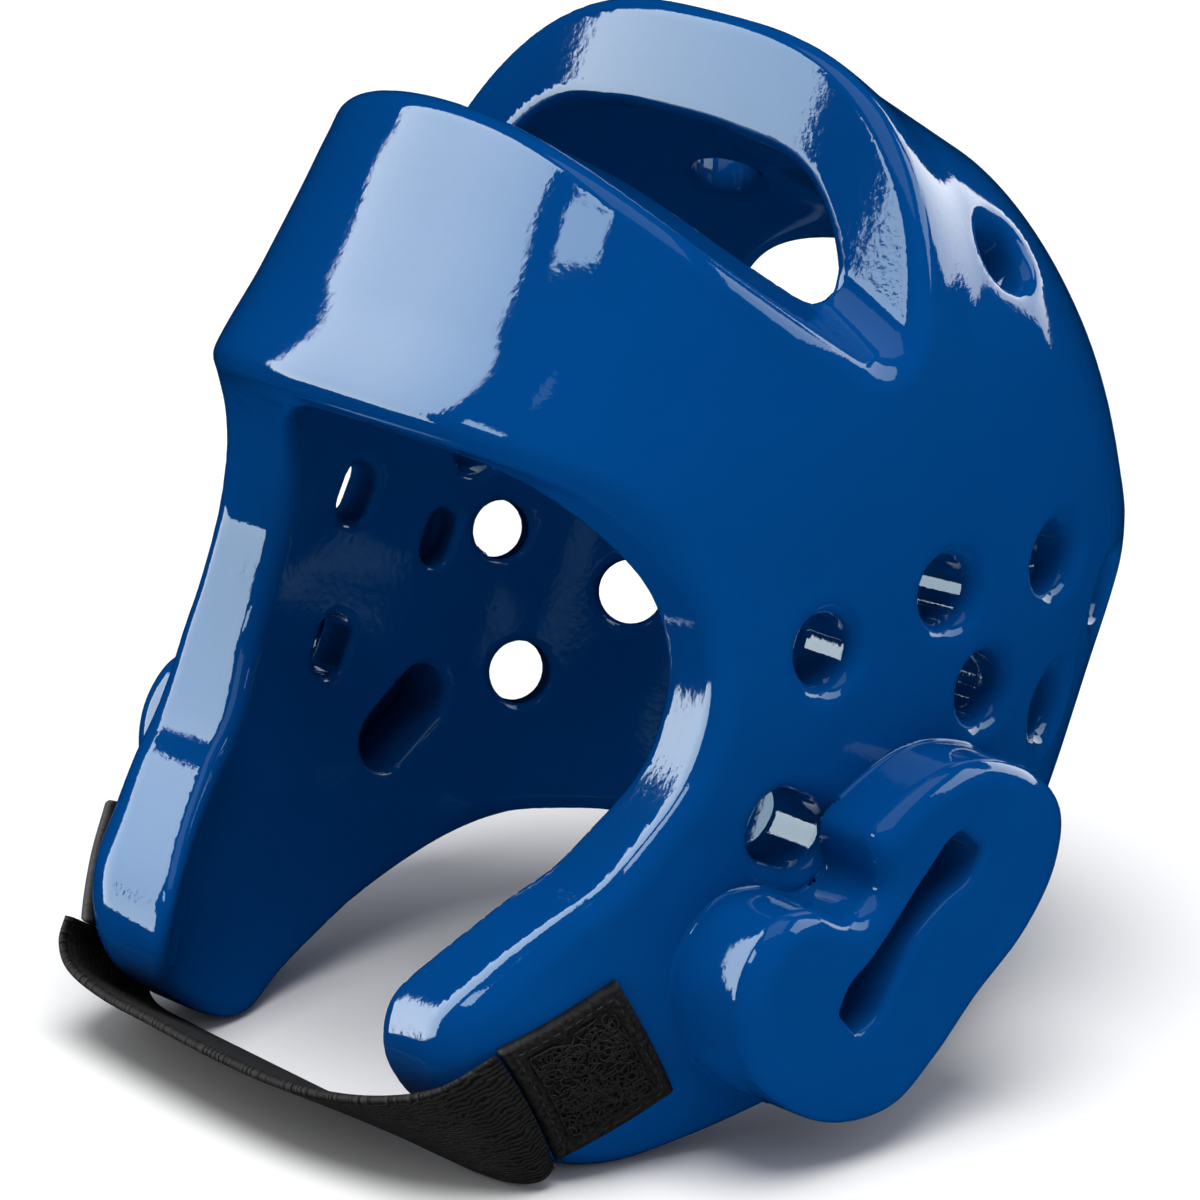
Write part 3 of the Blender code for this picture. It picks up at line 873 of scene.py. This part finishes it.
    def lip(self, place: Place) -> Array:
        """Share of the roll that thickens the crown along its front edge."""
        near = 1.0 - ease(self.behind_edge(place), 0.0, self.crown_lip[2])
        return near * ease(self.over_band(place), *self.lip_rise)

    def rear_cut(self, place: Place) -> Array:
        """Measure how deep places lie in the opening high at the back, which runs round the head.

        Args:
            place: Places in the head's frame.

        Returns:
            The depths in metres.
        """
        x, y, z = place
        half_turn, half_height = self.rear_half
        reach = np.maximum(np.hypot(x, y), 0.02)
        across = np.abs(np.arctan2(x, y)) / half_turn
        along = np.abs(z - self.rear_middle) / half_height
        gauge = np.maximum((across**3 + along**3) ** (1.0 / 3.0), 1e-6)
        slope = np.hypot(across**2 / (half_turn * reach), along**2 / half_height) / gauge**2
        return -np.maximum((gauge - 1.0) / np.maximum(slope, 5.0), self.rear_start - y)

    def vent_cut(self, place: Place) -> Array:
        """Measure how deep places lie in the nearest vent.

        Args:
            place: Places in the head's frame.

        Returns:
            The depths in metres.
        """
        nearest = np.full(place[0].shape, 1.0)
        for side, vents in ((1.0, self.left_vents), (-1.0, self.right_vents)):
            for x, depth, height, aim, rise, radius, stretch, turn, reach in vents:
                aim, rise, turn = math.radians(aim), math.radians(rise), math.radians(turn)
                level = math.cos(rise)
                bore = Vector((math.cos(aim) * level, math.sin(aim) * level, math.sin(rise)))
                lay = Vector((0.0, math.cos(turn), math.sin(turn)))
                wide = (lay - bore * lay.dot(bore)).normalized()
                offset = (side * place[0] - x, place[1] - depth, place[2] - height)
                along = sum(part * bore[k] for k, part in enumerate(offset))
                slide = np.clip(sum(part * wide[k] for k, part in enumerate(offset)), -stretch, stretch)
                around = [part - along * bore[k] - slide * wide[k] for k, part in enumerate(offset)]
                gap = np.sqrt(sum(part * part for part in around)) - radius
                nearest = np.minimum(nearest, rounded_max(gap, np.abs(along) - reach, 0.002))
        return -nearest

    def field(self, place: Place) -> Array:
        """Measure the distance to the shell's skin, negative inside the foam.

        Args:
            place: Places in the head's frame.

        Returns:
            The distances in metres.
        """
        lip = self.lip(place)
        x, y, z = place
        steep, reach, roll = self.shoulder
        back = (steep * (np.abs(x) + y) + z - reach) / math.sqrt(1.0 + 2.0 * steep * steep)
        outer = rounded_max(self.form.distance(place, inside=False), back, roll)
        outer = outer - self.crown_lip[0] * lip
        middle = 1.0 - ease(np.abs(x), *self.lip_fade)
        inner = -self.form.distance(place, inside=True) - self.crown_lip[1] * lip * middle
        cuts = (
            (self.lower_cut(place), self.lower_roll),
            (self.crescent_cut(place), self.crescent_roll),
            (self.rear_cut(place), self.rear_roll),
            (self.vent_cut(place), self.vent_roll),
        )
        for depth, (outside, inside) in cuts:
            outer = rounded_max(outer, depth, outside)
            inner = rounded_max(inner, depth, inside)
        return rounded_max(np.maximum(outer, inner), -self.lean.height(place), self.floor_roll)

    def build(self, skin: bpy.types.Material) -> bpy.types.Object:
        """Build the shell and put it in the place of its CAD solid.

        Args:
            skin: The foam's finish.

        Returns:
            The new object.
        """
        low = np.array([-0.101, -0.132, -0.142])
        high = np.array([0.101, 0.113, 0.143])
        cell = 0.00195
        shell = FieldSkin(cell).grow("foam_shell", self.field, low, high, self.lean)
        shell.data.materials.append(skin)
        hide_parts("shell")
        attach(shell, "root")
        return shell


@dataclass
class EarPad:
    """A raised foam bean over one ear, with a notch in front and a bent sound slot.

    The outline gives depth and height, and the slot gives depth, height and half width.
    """

    side: Side
    form: HeadForm
    shell: FoamShell
    lean: Lean
    raised: float = 0.0
    face: float = 0.117
    crown: float = 0.0010
    roll: float = 0.0065
    outline: Table = (
        (-0.027, -0.036),
        (-0.010, -0.016),
        (0.012, -0.010),
        (0.030, -0.015),
        (0.036, -0.030),
        (0.033, -0.048),
        (0.024, -0.066),
        (0.017, -0.083),
        (0.008, -0.097),
        (-0.010, -0.104),
        (-0.032, -0.101),
        (-0.047, -0.091),
        (-0.0525, -0.077),
        (-0.049, -0.063),
        (-0.038, -0.057),
        (-0.026, -0.056),
        (-0.020, -0.047),
    )
    slot: Table = (
        (0.001, -0.030, 0.0042),
        (-0.001, -0.036, 0.0064),
        (-0.006, -0.045, 0.0046),
        (-0.0105, -0.056, 0.0036),
        (-0.0135, -0.066, 0.0048),
        (-0.0165, -0.074, 0.0064),
        (-0.019, -0.080, 0.0042),
    )
    slot_roll: float = 0.0022
    fillet: float = 0.0018
    vent_clearance: float = 0.0035
    root: float = 0.060

    def __post_init__(self) -> None:
        """Draw the pad's outline and its slot on the side view."""
        bean = spline(self.outline, 8, closed=True) + (0.0, self.raised)
        self.bean = SideOutline(bean, cell=0.0006, soften=5)
        self.channel = SideOutline(self.slot_line(), cell=0.0006, soften=4)

    def slot_line(self) -> Array:
        """Draw the closed line round the slot.

        Returns:
            Depth and height of its points, one to a row.
        """
        line = spline(self.slot, 6) + (0.0, self.raised, 0.0)
        run = np.gradient(line[:, :2], axis=0)
        run /= np.linalg.norm(run, axis=1)[:, None]
        aside = np.stack([-run[:, 1], run[:, 0]], axis=1) * line[:, 2:3]
        return np.concatenate([line[:, :2] + aside, (line[:, :2] - aside)[::-1]])

    def field(self, place: Place) -> Array:
        """Measure the distance to the pad's skin, with a fillet down to the shell.

        Args:
            place: Places in the head's frame.

        Returns:
            The distances in metres, negative inside the foam.
        """
        x, y, z = place
        out = self.side.value * x
        outer = self.form.distance(place, inside=False)
        edge = self.bean.at(y, z)
        face = out - self.face - self.crown * ease(-edge, 0.0, 0.020)
        bean = rounded_max(edge, face, self.roll)
        bean = rounded_max(bean, -self.channel.at(y, z), self.slot_roll)
        flare = rounded_min(bean, outer + 0.0004, self.fillet)
        vents = self.shell.vent_cut(place)
        flare = np.maximum(np.maximum(flare, edge - 1.3 * self.fillet), vents + self.vent_clearance)
        joined = np.minimum(bean, flare)
        return np.maximum(np.maximum(joined, -outer - 0.0012), self.root - out)

    def build(self, skin: bpy.types.Material) -> bpy.types.Object:
        """Build the pad and put it in the place of its CAD solid.

        Args:
            skin: The foam's finish.

        Returns:
            The new object.
        """
        ends = sorted((0.066 * self.side.value, 0.121 * self.side.value))
        low = np.array([ends[0], -0.063, -0.112])
        high = np.array([ends[1], 0.044, 0.006])
        cell = 0.0010
        pad = FieldSkin(cell).grow(f"ear_pad_{self.side.word}_foam", self.field, low, high, self.lean)
        pad.data.materials.append(skin)
        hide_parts(f"ear_pad_{self.side.word}")
        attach(pad, "root")
        return pad


def ribbon(name: str, front: Array, rear: Array, bow: Array, thickness: float, columns: int,
           lean: Lean) -> bpy.types.Object:
    """Build a flat band with rolled edges between a front and a rear edge line.

    Args:
        name: The new object's name.
        front: Points of the front edge.
        rear: Points of the rear edge.
        bow: How far the middle stands out, as a vector for each point.
        thickness: The band's thickness.
        columns: Faces across the band.
        lean: How the head lies on the floor.

    Returns:
        The new object, with a chart in metres.
    """
    share = np.linspace(0.0, 1.0, columns + 1)
    middle = (
        front[:, None] * (1 - share)[None, :, None]
        + rear[:, None] * share[None, :, None]
        + bow[:, None] * (4 * share * (1 - share))[None, :, None]
    )
    along = np.gradient(middle, axis=0)
    across = np.gradient(middle, axis=1)
    normal = np.cross(along, across)
    normal /= np.linalg.norm(normal, axis=2)[:, :, None]
    across /= np.linalg.norm(across, axis=2)[:, :, None]
    half = thickness / 2
    ring = [middle + normal * half]
    for k in range(1, 4):
        turn = math.pi * k / 4
        ring.append((middle + normal * half * math.cos(turn) + across * half * 0.8 * math.sin(turn))[:, -1:])
    ring.append((middle - normal * half)[:, ::-1])
    for k in range(1, 4):
        turn = math.pi * k / 4
        ring.append((middle - normal * half * math.cos(turn) - across * half * 0.8 * math.sin(turn))[:, :1])
    grid = np.concatenate(ring, axis=1)
    rows, count = grid.shape[:2]
    numbers = np.arange(rows * count).reshape(rows, count)
    nxt = np.roll(numbers, -1, axis=1)
    faces = np.stack([numbers[:-1], nxt[:-1], nxt[1:], numbers[1:]], axis=-1).reshape(-1, 4)
    obj = mesh_object(name, lean.to_floor(grid.reshape(-1, 3)), faces)
    bm = bmesh.new()
    bm.from_mesh(obj.data)
    bm.verts.ensure_lookup_table()
    for end in (numbers[0], numbers[-1][::-1]):
        bm.faces.new([bm.verts[int(i)] for i in end])
    bmesh.ops.recalc_face_normals(bm, faces=bm.faces)
    steps = np.linalg.norm(np.diff(middle[:, columns // 2], axis=0), axis=1)
    length = np.concatenate([[0.0], np.cumsum(steps)])
    width = np.linalg.norm(rear - front, axis=1).mean()
    chart_v = np.concatenate([share, [1.0] * 3, share[::-1], [0.0] * 3]) * width
    layer = bm.loops.layers.uv.new("chart")
    for face in bm.faces:
        for loop in face.loops:
            i, k = divmod(loop.vert.index, count)
            loop[layer].uv = (length[i], chart_v[k])
    bm.to_mesh(obj.data)
    bm.free()
    return obj


@dataclass
class ChinStrap:
    """The flat elastic band under the chin, from one cheek to the other.

    A row gives the front edge's place, the rear edge's place, and how far the middle bows outward.
    """

    lean: Lean
    thickness: float = 0.0024
    rows: Table = (
        (0.0756, -0.0826, -0.1128, 0.0770, -0.0560, -0.1336, 0.0028),
        (0.0725, -0.0878, -0.1200, 0.0768, -0.0580, -0.1368, 0.0030),
        (0.0680, -0.0908, -0.1252, 0.0715, -0.0595, -0.1392, 0.0020),
        (0.0580, -0.0925, -0.1300, 0.0620, -0.0605, -0.1402, 0.0),
        (0.0420, -0.0935, -0.1345, 0.0460, -0.0610, -0.1401, 0.0),
        (0.0220, -0.0940, -0.1370, 0.0230, -0.0600, -0.1397, 0.0),
        (-0.0050, -0.0930, -0.1370, -0.0050, -0.0585, -0.1391, 0.0),
        (-0.0300, -0.0910, -0.1360, -0.0310, -0.0570, -0.1385, 0.0),
        (-0.0520, -0.0885, -0.1352, -0.0550, -0.0545, -0.1380, 0.0),
        (-0.0680, -0.0870, -0.1325, -0.0720, -0.0535, -0.1368, -0.0015),
        (-0.0750, -0.0862, -0.1275, -0.0803, -0.0525, -0.1315, -0.0020),
        (-0.0765, -0.0855, -0.1213, -0.0835, -0.0512, -0.1250, -0.0020),
    )

    def build(self, webbing: bpy.types.Material) -> bpy.types.Object:
        """Build the strap and put it in the place of its CAD solid.

        Args:
            webbing: The strap's finish.

        Returns:
            The new object.
        """
        line = spline(self.rows, 14)
        bow = np.zeros((len(line), 3))
        bow[:, 0] = line[:, 6]
        strap = ribbon("chin_strap_webbing", line[:, :3], line[:, 3:6], bow, self.thickness, 24, self.lean)
        strap.data.materials.append(webbing)
        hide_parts("chin_strap")
        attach(strap, "root")
        return strap


@dataclass
class StrapPatch:
    """A square of loop tape with a bound, stitched border, fixed on one cheek."""

    side: Side
    form: HeadForm
    lean: Lean
    depth: float
    height: float
    turn: float
    seed: int
    length: float = 0.0295
    width: float = 0.0345
    thickness: float = 0.0030
    border: float = 0.0042
    loop_count: int = 360
    loop_points: int = 16
    loop_step: float = 0.00045
    loop_radius: float = 0.00019
    stitch_pitch: float = 0.0026
    stitch_gap: float = 0.0007
    stitch_radius: float = 0.00024

    def on_cheek(self, along: Array, across: Array, lift: Array | float) -> Array:
        """Lay places of the patch on the cheek.

        Args:
            along: How far they lie from the middle along the strap.
            across: How far they lie from it across the strap.
            lift: How high they lie over the foam.

        Returns:
            The points in the head's frame, one to a row.
        """
        turn = math.radians(self.turn)
        depth = self.depth - along * math.sin(turn) + across * math.cos(turn)
        height = self.height - along * math.cos(turn) - across * math.sin(turn)
        points = []
        for dy, dz in ((0.0, 0.0), (0.0005, 0.0), (0.0, 0.0005)):
            y, z = depth + dy, height + dz
            points.append(np.stack([self.form.skin_x(y, z), y, z], axis=-1))
        normal = np.cross(points[1] - points[0], points[2] - points[0])
        normal /= np.linalg.norm(normal, axis=-1)[..., None]
        placed = points[0] + normal * np.asarray(lift)[..., None]
        placed[..., 0] *= self.side.value
        return placed

    def tape(self, ground: bpy.types.Material) -> bpy.types.Object:
        """Build the tape: a thick bound border round a lower field.

        Args:
            ground: The tape's finish.

        Returns:
            The new object.
        """
        steps = 64
        u = np.linspace(-0.5, 0.5, steps + 1)
        along, across = np.meshgrid(u * self.length, u * self.width, indexing="ij")
        rim = np.minimum(self.length / 2 - np.abs(along), self.width / 2 - np.abs(across))
        binding = ease(rim, -0.0001, 0.0009) - 0.45 * ease(rim, self.border - 0.0008, self.border + 0.0004)
        top = self.thickness * (0.55 + 0.45 * binding)
        upper = self.on_cheek(along, across, top)
        lower = self.on_cheek(along, across, -0.0004)
        rows = steps + 1
        numbers = np.arange(rows * rows).reshape(rows, rows)
        flat = np.stack([numbers[:-1, :-1], numbers[1:, :-1], numbers[1:, 1:], numbers[:-1, 1:]], axis=-1)
        flat = flat.reshape(-1, 4)
        loop = np.concatenate([numbers[0, :-1], numbers[:-1, -1], numbers[-1, :0:-1], numbers[:0:-1, 0]])
        ahead = np.roll(loop, -1)
        wall = np.stack([loop, ahead, ahead + rows * rows, loop + rows * rows], axis=-1)
        points = np.concatenate([upper.reshape(-1, 3), lower.reshape(-1, 3)])
        faces = np.concatenate([flat, flat[:, ::-1] + rows * rows, wall])
        obj = mesh_object(f"strap_patch_{self.side.word}_tape", self.lean.to_floor(points), faces)
        bm = bmesh.new()
        bm.from_mesh(obj.data)
        bmesh.ops.recalc_face_normals(bm, faces=bm.faces)
        layer = bm.loops.layers.uv.new("chart")
        chart = np.stack([along.reshape(-1), across.reshape(-1)], axis=1)
        for face in bm.faces:
            for corner in face.loops:
                corner[layer].uv = chart[corner.vert.index % (rows * rows)]
        bm.to_mesh(obj.data)
        bm.free()
        obj.data.materials.append(ground)
        return obj

    def tubes(self, name: str, paths: list[Array], radius: float, sides: int = 5) -> bpy.types.Object:
        """Build yarns along paths on the patch.

        Args:
            name: The new object's name.
            paths: For each yarn its places as along, across and lift.
            radius: The yarn's radius.
            sides: How many faces go round it.

        Returns:
            The new object.
        """
        points = []
        faces = []
        start = 0
        for path in paths:
            line = self.on_cheek(path[:, 0], path[:, 1], path[:, 2])
            raised = self.on_cheek(path[:, 0], path[:, 1], path[:, 2] + 0.001)
            up = (raised - line) / 0.001
            run = np.gradient(line, axis=0)
            run /= np.maximum(np.linalg.norm(run, axis=1), 1e-9)[:, None]
            aside = np.cross(run, up)
            aside /= np.maximum(np.linalg.norm(aside, axis=1), 1e-9)[:, None]
            over = np.cross(aside, run)
            count = len(path)
            taper = np.minimum(1.0, 0.35 + 4.0 * np.minimum(np.arange(count), np.arange(count)[::-1]) / count)
            for k in range(sides):
                turn = 2 * math.pi * k / sides
                reach = radius * taper[:, None]
                points.append(line + reach * (aside * math.cos(turn) + over * math.sin(turn)))
            numbers = start + np.arange(sides)[None, :] * count + np.arange(count)[:, None]
            nxt = np.roll(numbers, -1, axis=1)
            faces.append(np.stack([numbers[:-1], nxt[:-1], nxt[1:], numbers[1:]], axis=-1).reshape(-1, 4))
            start += sides * count
        return mesh_object(name, self.lean.to_floor(np.concatenate(points)), np.concatenate(faces))

    def loops(self, yarn: bpy.types.Material) -> bpy.types.Object:
        """Build the curly loops that fill the patch inside its border.

        Args:
            yarn: The loops' finish.

        Returns:
            The new object.
        """
        rng = np.random.default_rng(self.seed)
        half_length = self.length / 2 - self.border - 0.0004
        half_width = self.width / 2 - self.border - 0.0004
        paths = []
        for _ in range(self.loop_count):
            spot = np.array([rng.uniform(-half_length, half_length), rng.uniform(-half_width, half_width)])
            heading = rng.uniform(0.0, 2 * math.pi)
            turn = rng.choice((-1.0, 1.0)) * rng.uniform(0.15, 0.42)
            rows = []
            for i in range(self.loop_points):
                arch = 0.0007 * math.sin(math.pi * i / (self.loop_points - 1))
                height = self.thickness * 0.80 + arch + 0.0002 * rng.random()
                rows.append((spot[0], spot[1], height))
                spot = spot + self.loop_step * np.array([math.cos(heading), math.sin(heading)])
                spot = np.clip(spot, (-half_length, -half_width), (half_length, half_width))
                heading += turn + rng.uniform(-0.22, 0.22)
            paths.append(np.array(rows))
        obj = self.tubes(f"strap_patch_{self.side.word}_loops", paths, self.loop_radius)
        obj.data.materials.append(yarn)
        return obj

    def stitches(self, thread: bpy.types.Material) -> bpy.types.Object:
        """Build the seam of stitches round the border.

        Args:
            thread: The seam's finish.

        Returns:
            The new object.
        """
        half_length = self.length / 2 - self.border * 0.62
        half_width = self.width / 2 - self.border * 0.62
        corners = [(-1, -1), (1, -1), (1, 1), (-1, 1), (-1, -1)]
        paths = []
        for (a, b), (c, d) in zip(corners, corners[1:]):
            start = np.array([a * half_length, b * half_width])
            end = np.array([c * half_length, d * half_width])
            total = np.linalg.norm(end - start)
            count = int(total / self.stitch_pitch)
            for i in range(count):
                first = start + (end - start) * (i * total / count + self.stitch_gap / 2) / total
                last = start + (end - start) * ((i + 1) * total / count - self.stitch_gap / 2) / total
                t = np.linspace(0.0, 1.0, 6)
                spots = first + (last - first) * t[:, None]
                lift = self.thickness + 0.00022 * np.sin(math.pi * t) - 0.0002
                paths.append(np.concatenate([spots, lift[:, None]], axis=1))
        obj = self.tubes(f"strap_patch_{self.side.word}_stitches", paths, self.stitch_radius, 6)
        obj.data.materials.append(thread)
        return obj

    def build(self, ground: bpy.types.Material, yarn: bpy.types.Material,
              thread: bpy.types.Material) -> bpy.types.Object:
        """Build the patch with its loops and stitches.

        Args:
            ground: The material of the tape's ground.
            yarn: The material of its loops.
            thread: The material of its seam.

        Returns:
            The tape itself, which the rest rides with.
        """
        body = self.tape(ground)
        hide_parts(f"strap_patch_{self.side.word}")
        for piece in (body, self.loops(yarn), self.stitches(thread)):
            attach(piece, "root")
        return body


@dataclass
class Studio:
    """The pale floor, the soft lamps and the camera.

    A soft box is its azimuth and elevation in degrees, its width and height, its glow, and how far it
    is rolled about its own aim in degrees.
    """

    lean: Lean
    azimuth: float = 48.06
    elevation: float = 18.06
    distance: float = 1.7
    pixels_per_metre: float = 4070.0
    image_width: int = 1200
    offset: tuple[float, float] = (73.2, -0.6)
    sky_strength: float = 0.46
    ceiling_power: float = 2.55
    ceiling_spread: float = 42.0
    ceiling_tilt: float = 12.0
    box_reach: float = 1.7
    box_aim: float = 0.12
    boxes: tuple[tuple[str, float, float, tuple[float, float], float, float], ...] = (
        ("left_box", -49.0, 22.0, (0.92, 2.20), 8.5, 12.0),
        ("front_box", -12.0, 36.0, (0.50, 0.32), 8.0, 0.0),
        ("right_box", 140.0, 40.0, (1.20, 0.70), 3.5, 0.0),
        ("rear_box", 178.0, 18.0, (1.00, 0.70), 4.0, 0.0),
        ("top_box", 40.0, 84.0, (1.50, 1.50), 0.8, 0.0),
    )

    @staticmethod
    def direction(azimuth: float, elevation: float) -> Vector:
        """Turn two angles into a direction out from the guard.

        Args:
            azimuth: The turn from the front, in degrees.
            elevation: The height over the horizon, in degrees.

        Returns:
            A vector of length 1.
        """
        a, e = math.radians(azimuth), math.radians(elevation)
        return Vector((math.sin(a) * math.cos(e), -math.cos(a) * math.cos(e), math.sin(e)))

    def axes(self) -> tuple[Vector, Vector, Vector]:
        """Work out the camera's directions.

        Returns:
            The directions to the camera, to its right and to its top.
        """
        turn = math.radians(self.azimuth)
        out = self.direction(self.azimuth, self.elevation)
        right = Vector((math.cos(turn), math.sin(turn), 0.0))
        return out, right, out.cross(right)

    def camera(self) -> bpy.types.Object:
        """Set up the camera at the photograph's angle.

        Returns:
            The camera.
        """
        out, right, up = self.axes()
        aim = Vector(self.lean.seat)
        aim -= right * (self.offset[0] / self.pixels_per_metre)
        aim -= up * (self.offset[1] / self.pixels_per_metre)
        data = bpy.data.cameras.new("camera")
        data.sensor_width = 36.0
        data.lens = 36.0 * self.pixels_per_metre * self.distance / self.image_width
        data.clip_start = 0.05
        data.clip_end = 60.0
        camera = bpy.data.objects.new("camera", data)
        camera.rotation_mode = "QUATERNION"
        camera.location = aim + out * self.distance
        camera.rotation_quaternion = (-out).to_track_quat("-Z", "Y")
        bpy.context.scene.collection.objects.link(camera)
        bpy.context.scene.camera = camera
        return camera

    def floor(self) -> bpy.types.Object:
        """Lay the pale floor.

        Returns:
            The floor.
        """
        points = np.array([(-9.0, -9.0, 0.0), (9.0, -9.0, 0.0), (9.0, 9.0, 0.0), (-9.0, 9.0, 0.0)])
        floor = mesh_object("floor", points, np.array([[0, 1, 2, 3]]))
        recipe = Recipe("pale_floor")
        recipe.set(Base_Color=(0.93, 0.93, 0.93), Roughness=0.9, Specular_IOR_Level=0.0)
        floor.data.materials.append(recipe.material)
        floor.visible_glossy = False
        return floor

    def soft_box(self, name: str, azimuth: float, elevation: float, size: tuple[float, float],
                 glow: float, turn: float) -> bpy.types.Object:
        """Hang a soft box that shows only in the gloss.

        Args:
            name: The lamp's name.
            azimuth: Its place round the guard, in degrees.
            elevation: Its height over the horizon, in degrees.
            size: Its width and height.
            glow: How bright its face is.
            turn: How far it is rolled about its own aim, in degrees.

        Returns:
            The new lamp.
        """
        out = self.direction(azimuth, elevation)
        data = bpy.data.lights.new(name, "AREA")
        data.shape = "RECTANGLE"
        data.size = size[0]
        data.size_y = size[1]
        data.energy = glow * math.pi * size[0] * size[1]
        light = bpy.data.objects.new(name, data)
        light.rotation_mode = "QUATERNION"
        light.location = Vector((0.0, 0.0, self.box_aim)) + out * self.box_reach
        light.visible_diffuse = False
        roll = Quaternion((0.0, 0.0, 1.0), math.radians(turn))
        light.rotation_quaternion = (-out).to_track_quat("-Z", "Y") @ roll
        bpy.context.scene.collection.objects.link(light)
        return light

    def sky(self) -> None:
        """Fill the room with even pale light."""
        world = bpy.data.worlds.new("room")
        bpy.context.scene.world = world
        world.use_nodes = True
        background = world.node_tree.nodes["Background"]
        background.inputs["Color"].default_value = (0.97, 0.98, 1.0, 1.0)
        background.inputs["Strength"].default_value = self.sky_strength
        world.cycles_visibility.glossy = False

    def ceiling(self) -> bpy.types.Object:
        """Add the even light from above, which the gloss does not mirror.

        Returns:
            The new lamp.
        """
        data = bpy.data.lights.new("ceiling", "SUN")
        data.energy = self.ceiling_power
        data.angle = math.radians(self.ceiling_spread)
        light = bpy.data.objects.new("ceiling", data)
        light.rotation_euler = (math.radians(self.ceiling_tilt), 0.0, math.radians(self.azimuth))
        light.visible_glossy = False
        bpy.context.scene.collection.objects.link(light)
        return light

    def build(self) -> None:
        """Set up the whole studio."""
        bpy.context.scene.view_settings.view_transform = "Standard"
        self.camera()
        self.floor()
        self.sky()
        self.ceiling()
        for box in self.boxes:
            self.soft_box(*box)


def main() -> None:
    """Build the guard piece by piece, then the studio."""
    logging.basicConfig(level=logging.INFO, format="%(message)s", stream=sys.stdout, force=True)
    lean = Lean()
    form = HeadForm()
    skin = FoamSkin().material()
    webbing = Webbing().material()
    tape = LoopTape()
    ground = tape.material()
    yarn = tape.yarn_material("loop_yarn", tape.loop_yarn)
    thread = tape.yarn_material("seam_thread", tape.seam_thread)
    shell = FoamShell(form, lean)
    parts = [shell.build(skin)]
    for side, raised in ((Side.LEFT, 0.0), (Side.RIGHT, 0.008)):
        parts.append(EarPad(side, form, shell, lean, raised).build(skin))
    parts.append(ChinStrap(lean).build(webbing))
    for side, depth, height, turn, seed in (
        (Side.LEFT, -0.0598, -0.1093, 36.0, 11),
        (Side.RIGHT, -0.0668, -0.1075, 6.0, 12),
    ):
        patch = StrapPatch(side, form, lean, depth, height, turn, seed)
        parts.append(patch.build(ground, yarn, thread))
    for part in parts:
        log.info("%s: %d faces", part.name, len(part.data.polygons))
    Studio(lean).build()
    bpy.context.view_layer.update()


if __name__ == "__main__":
    main()
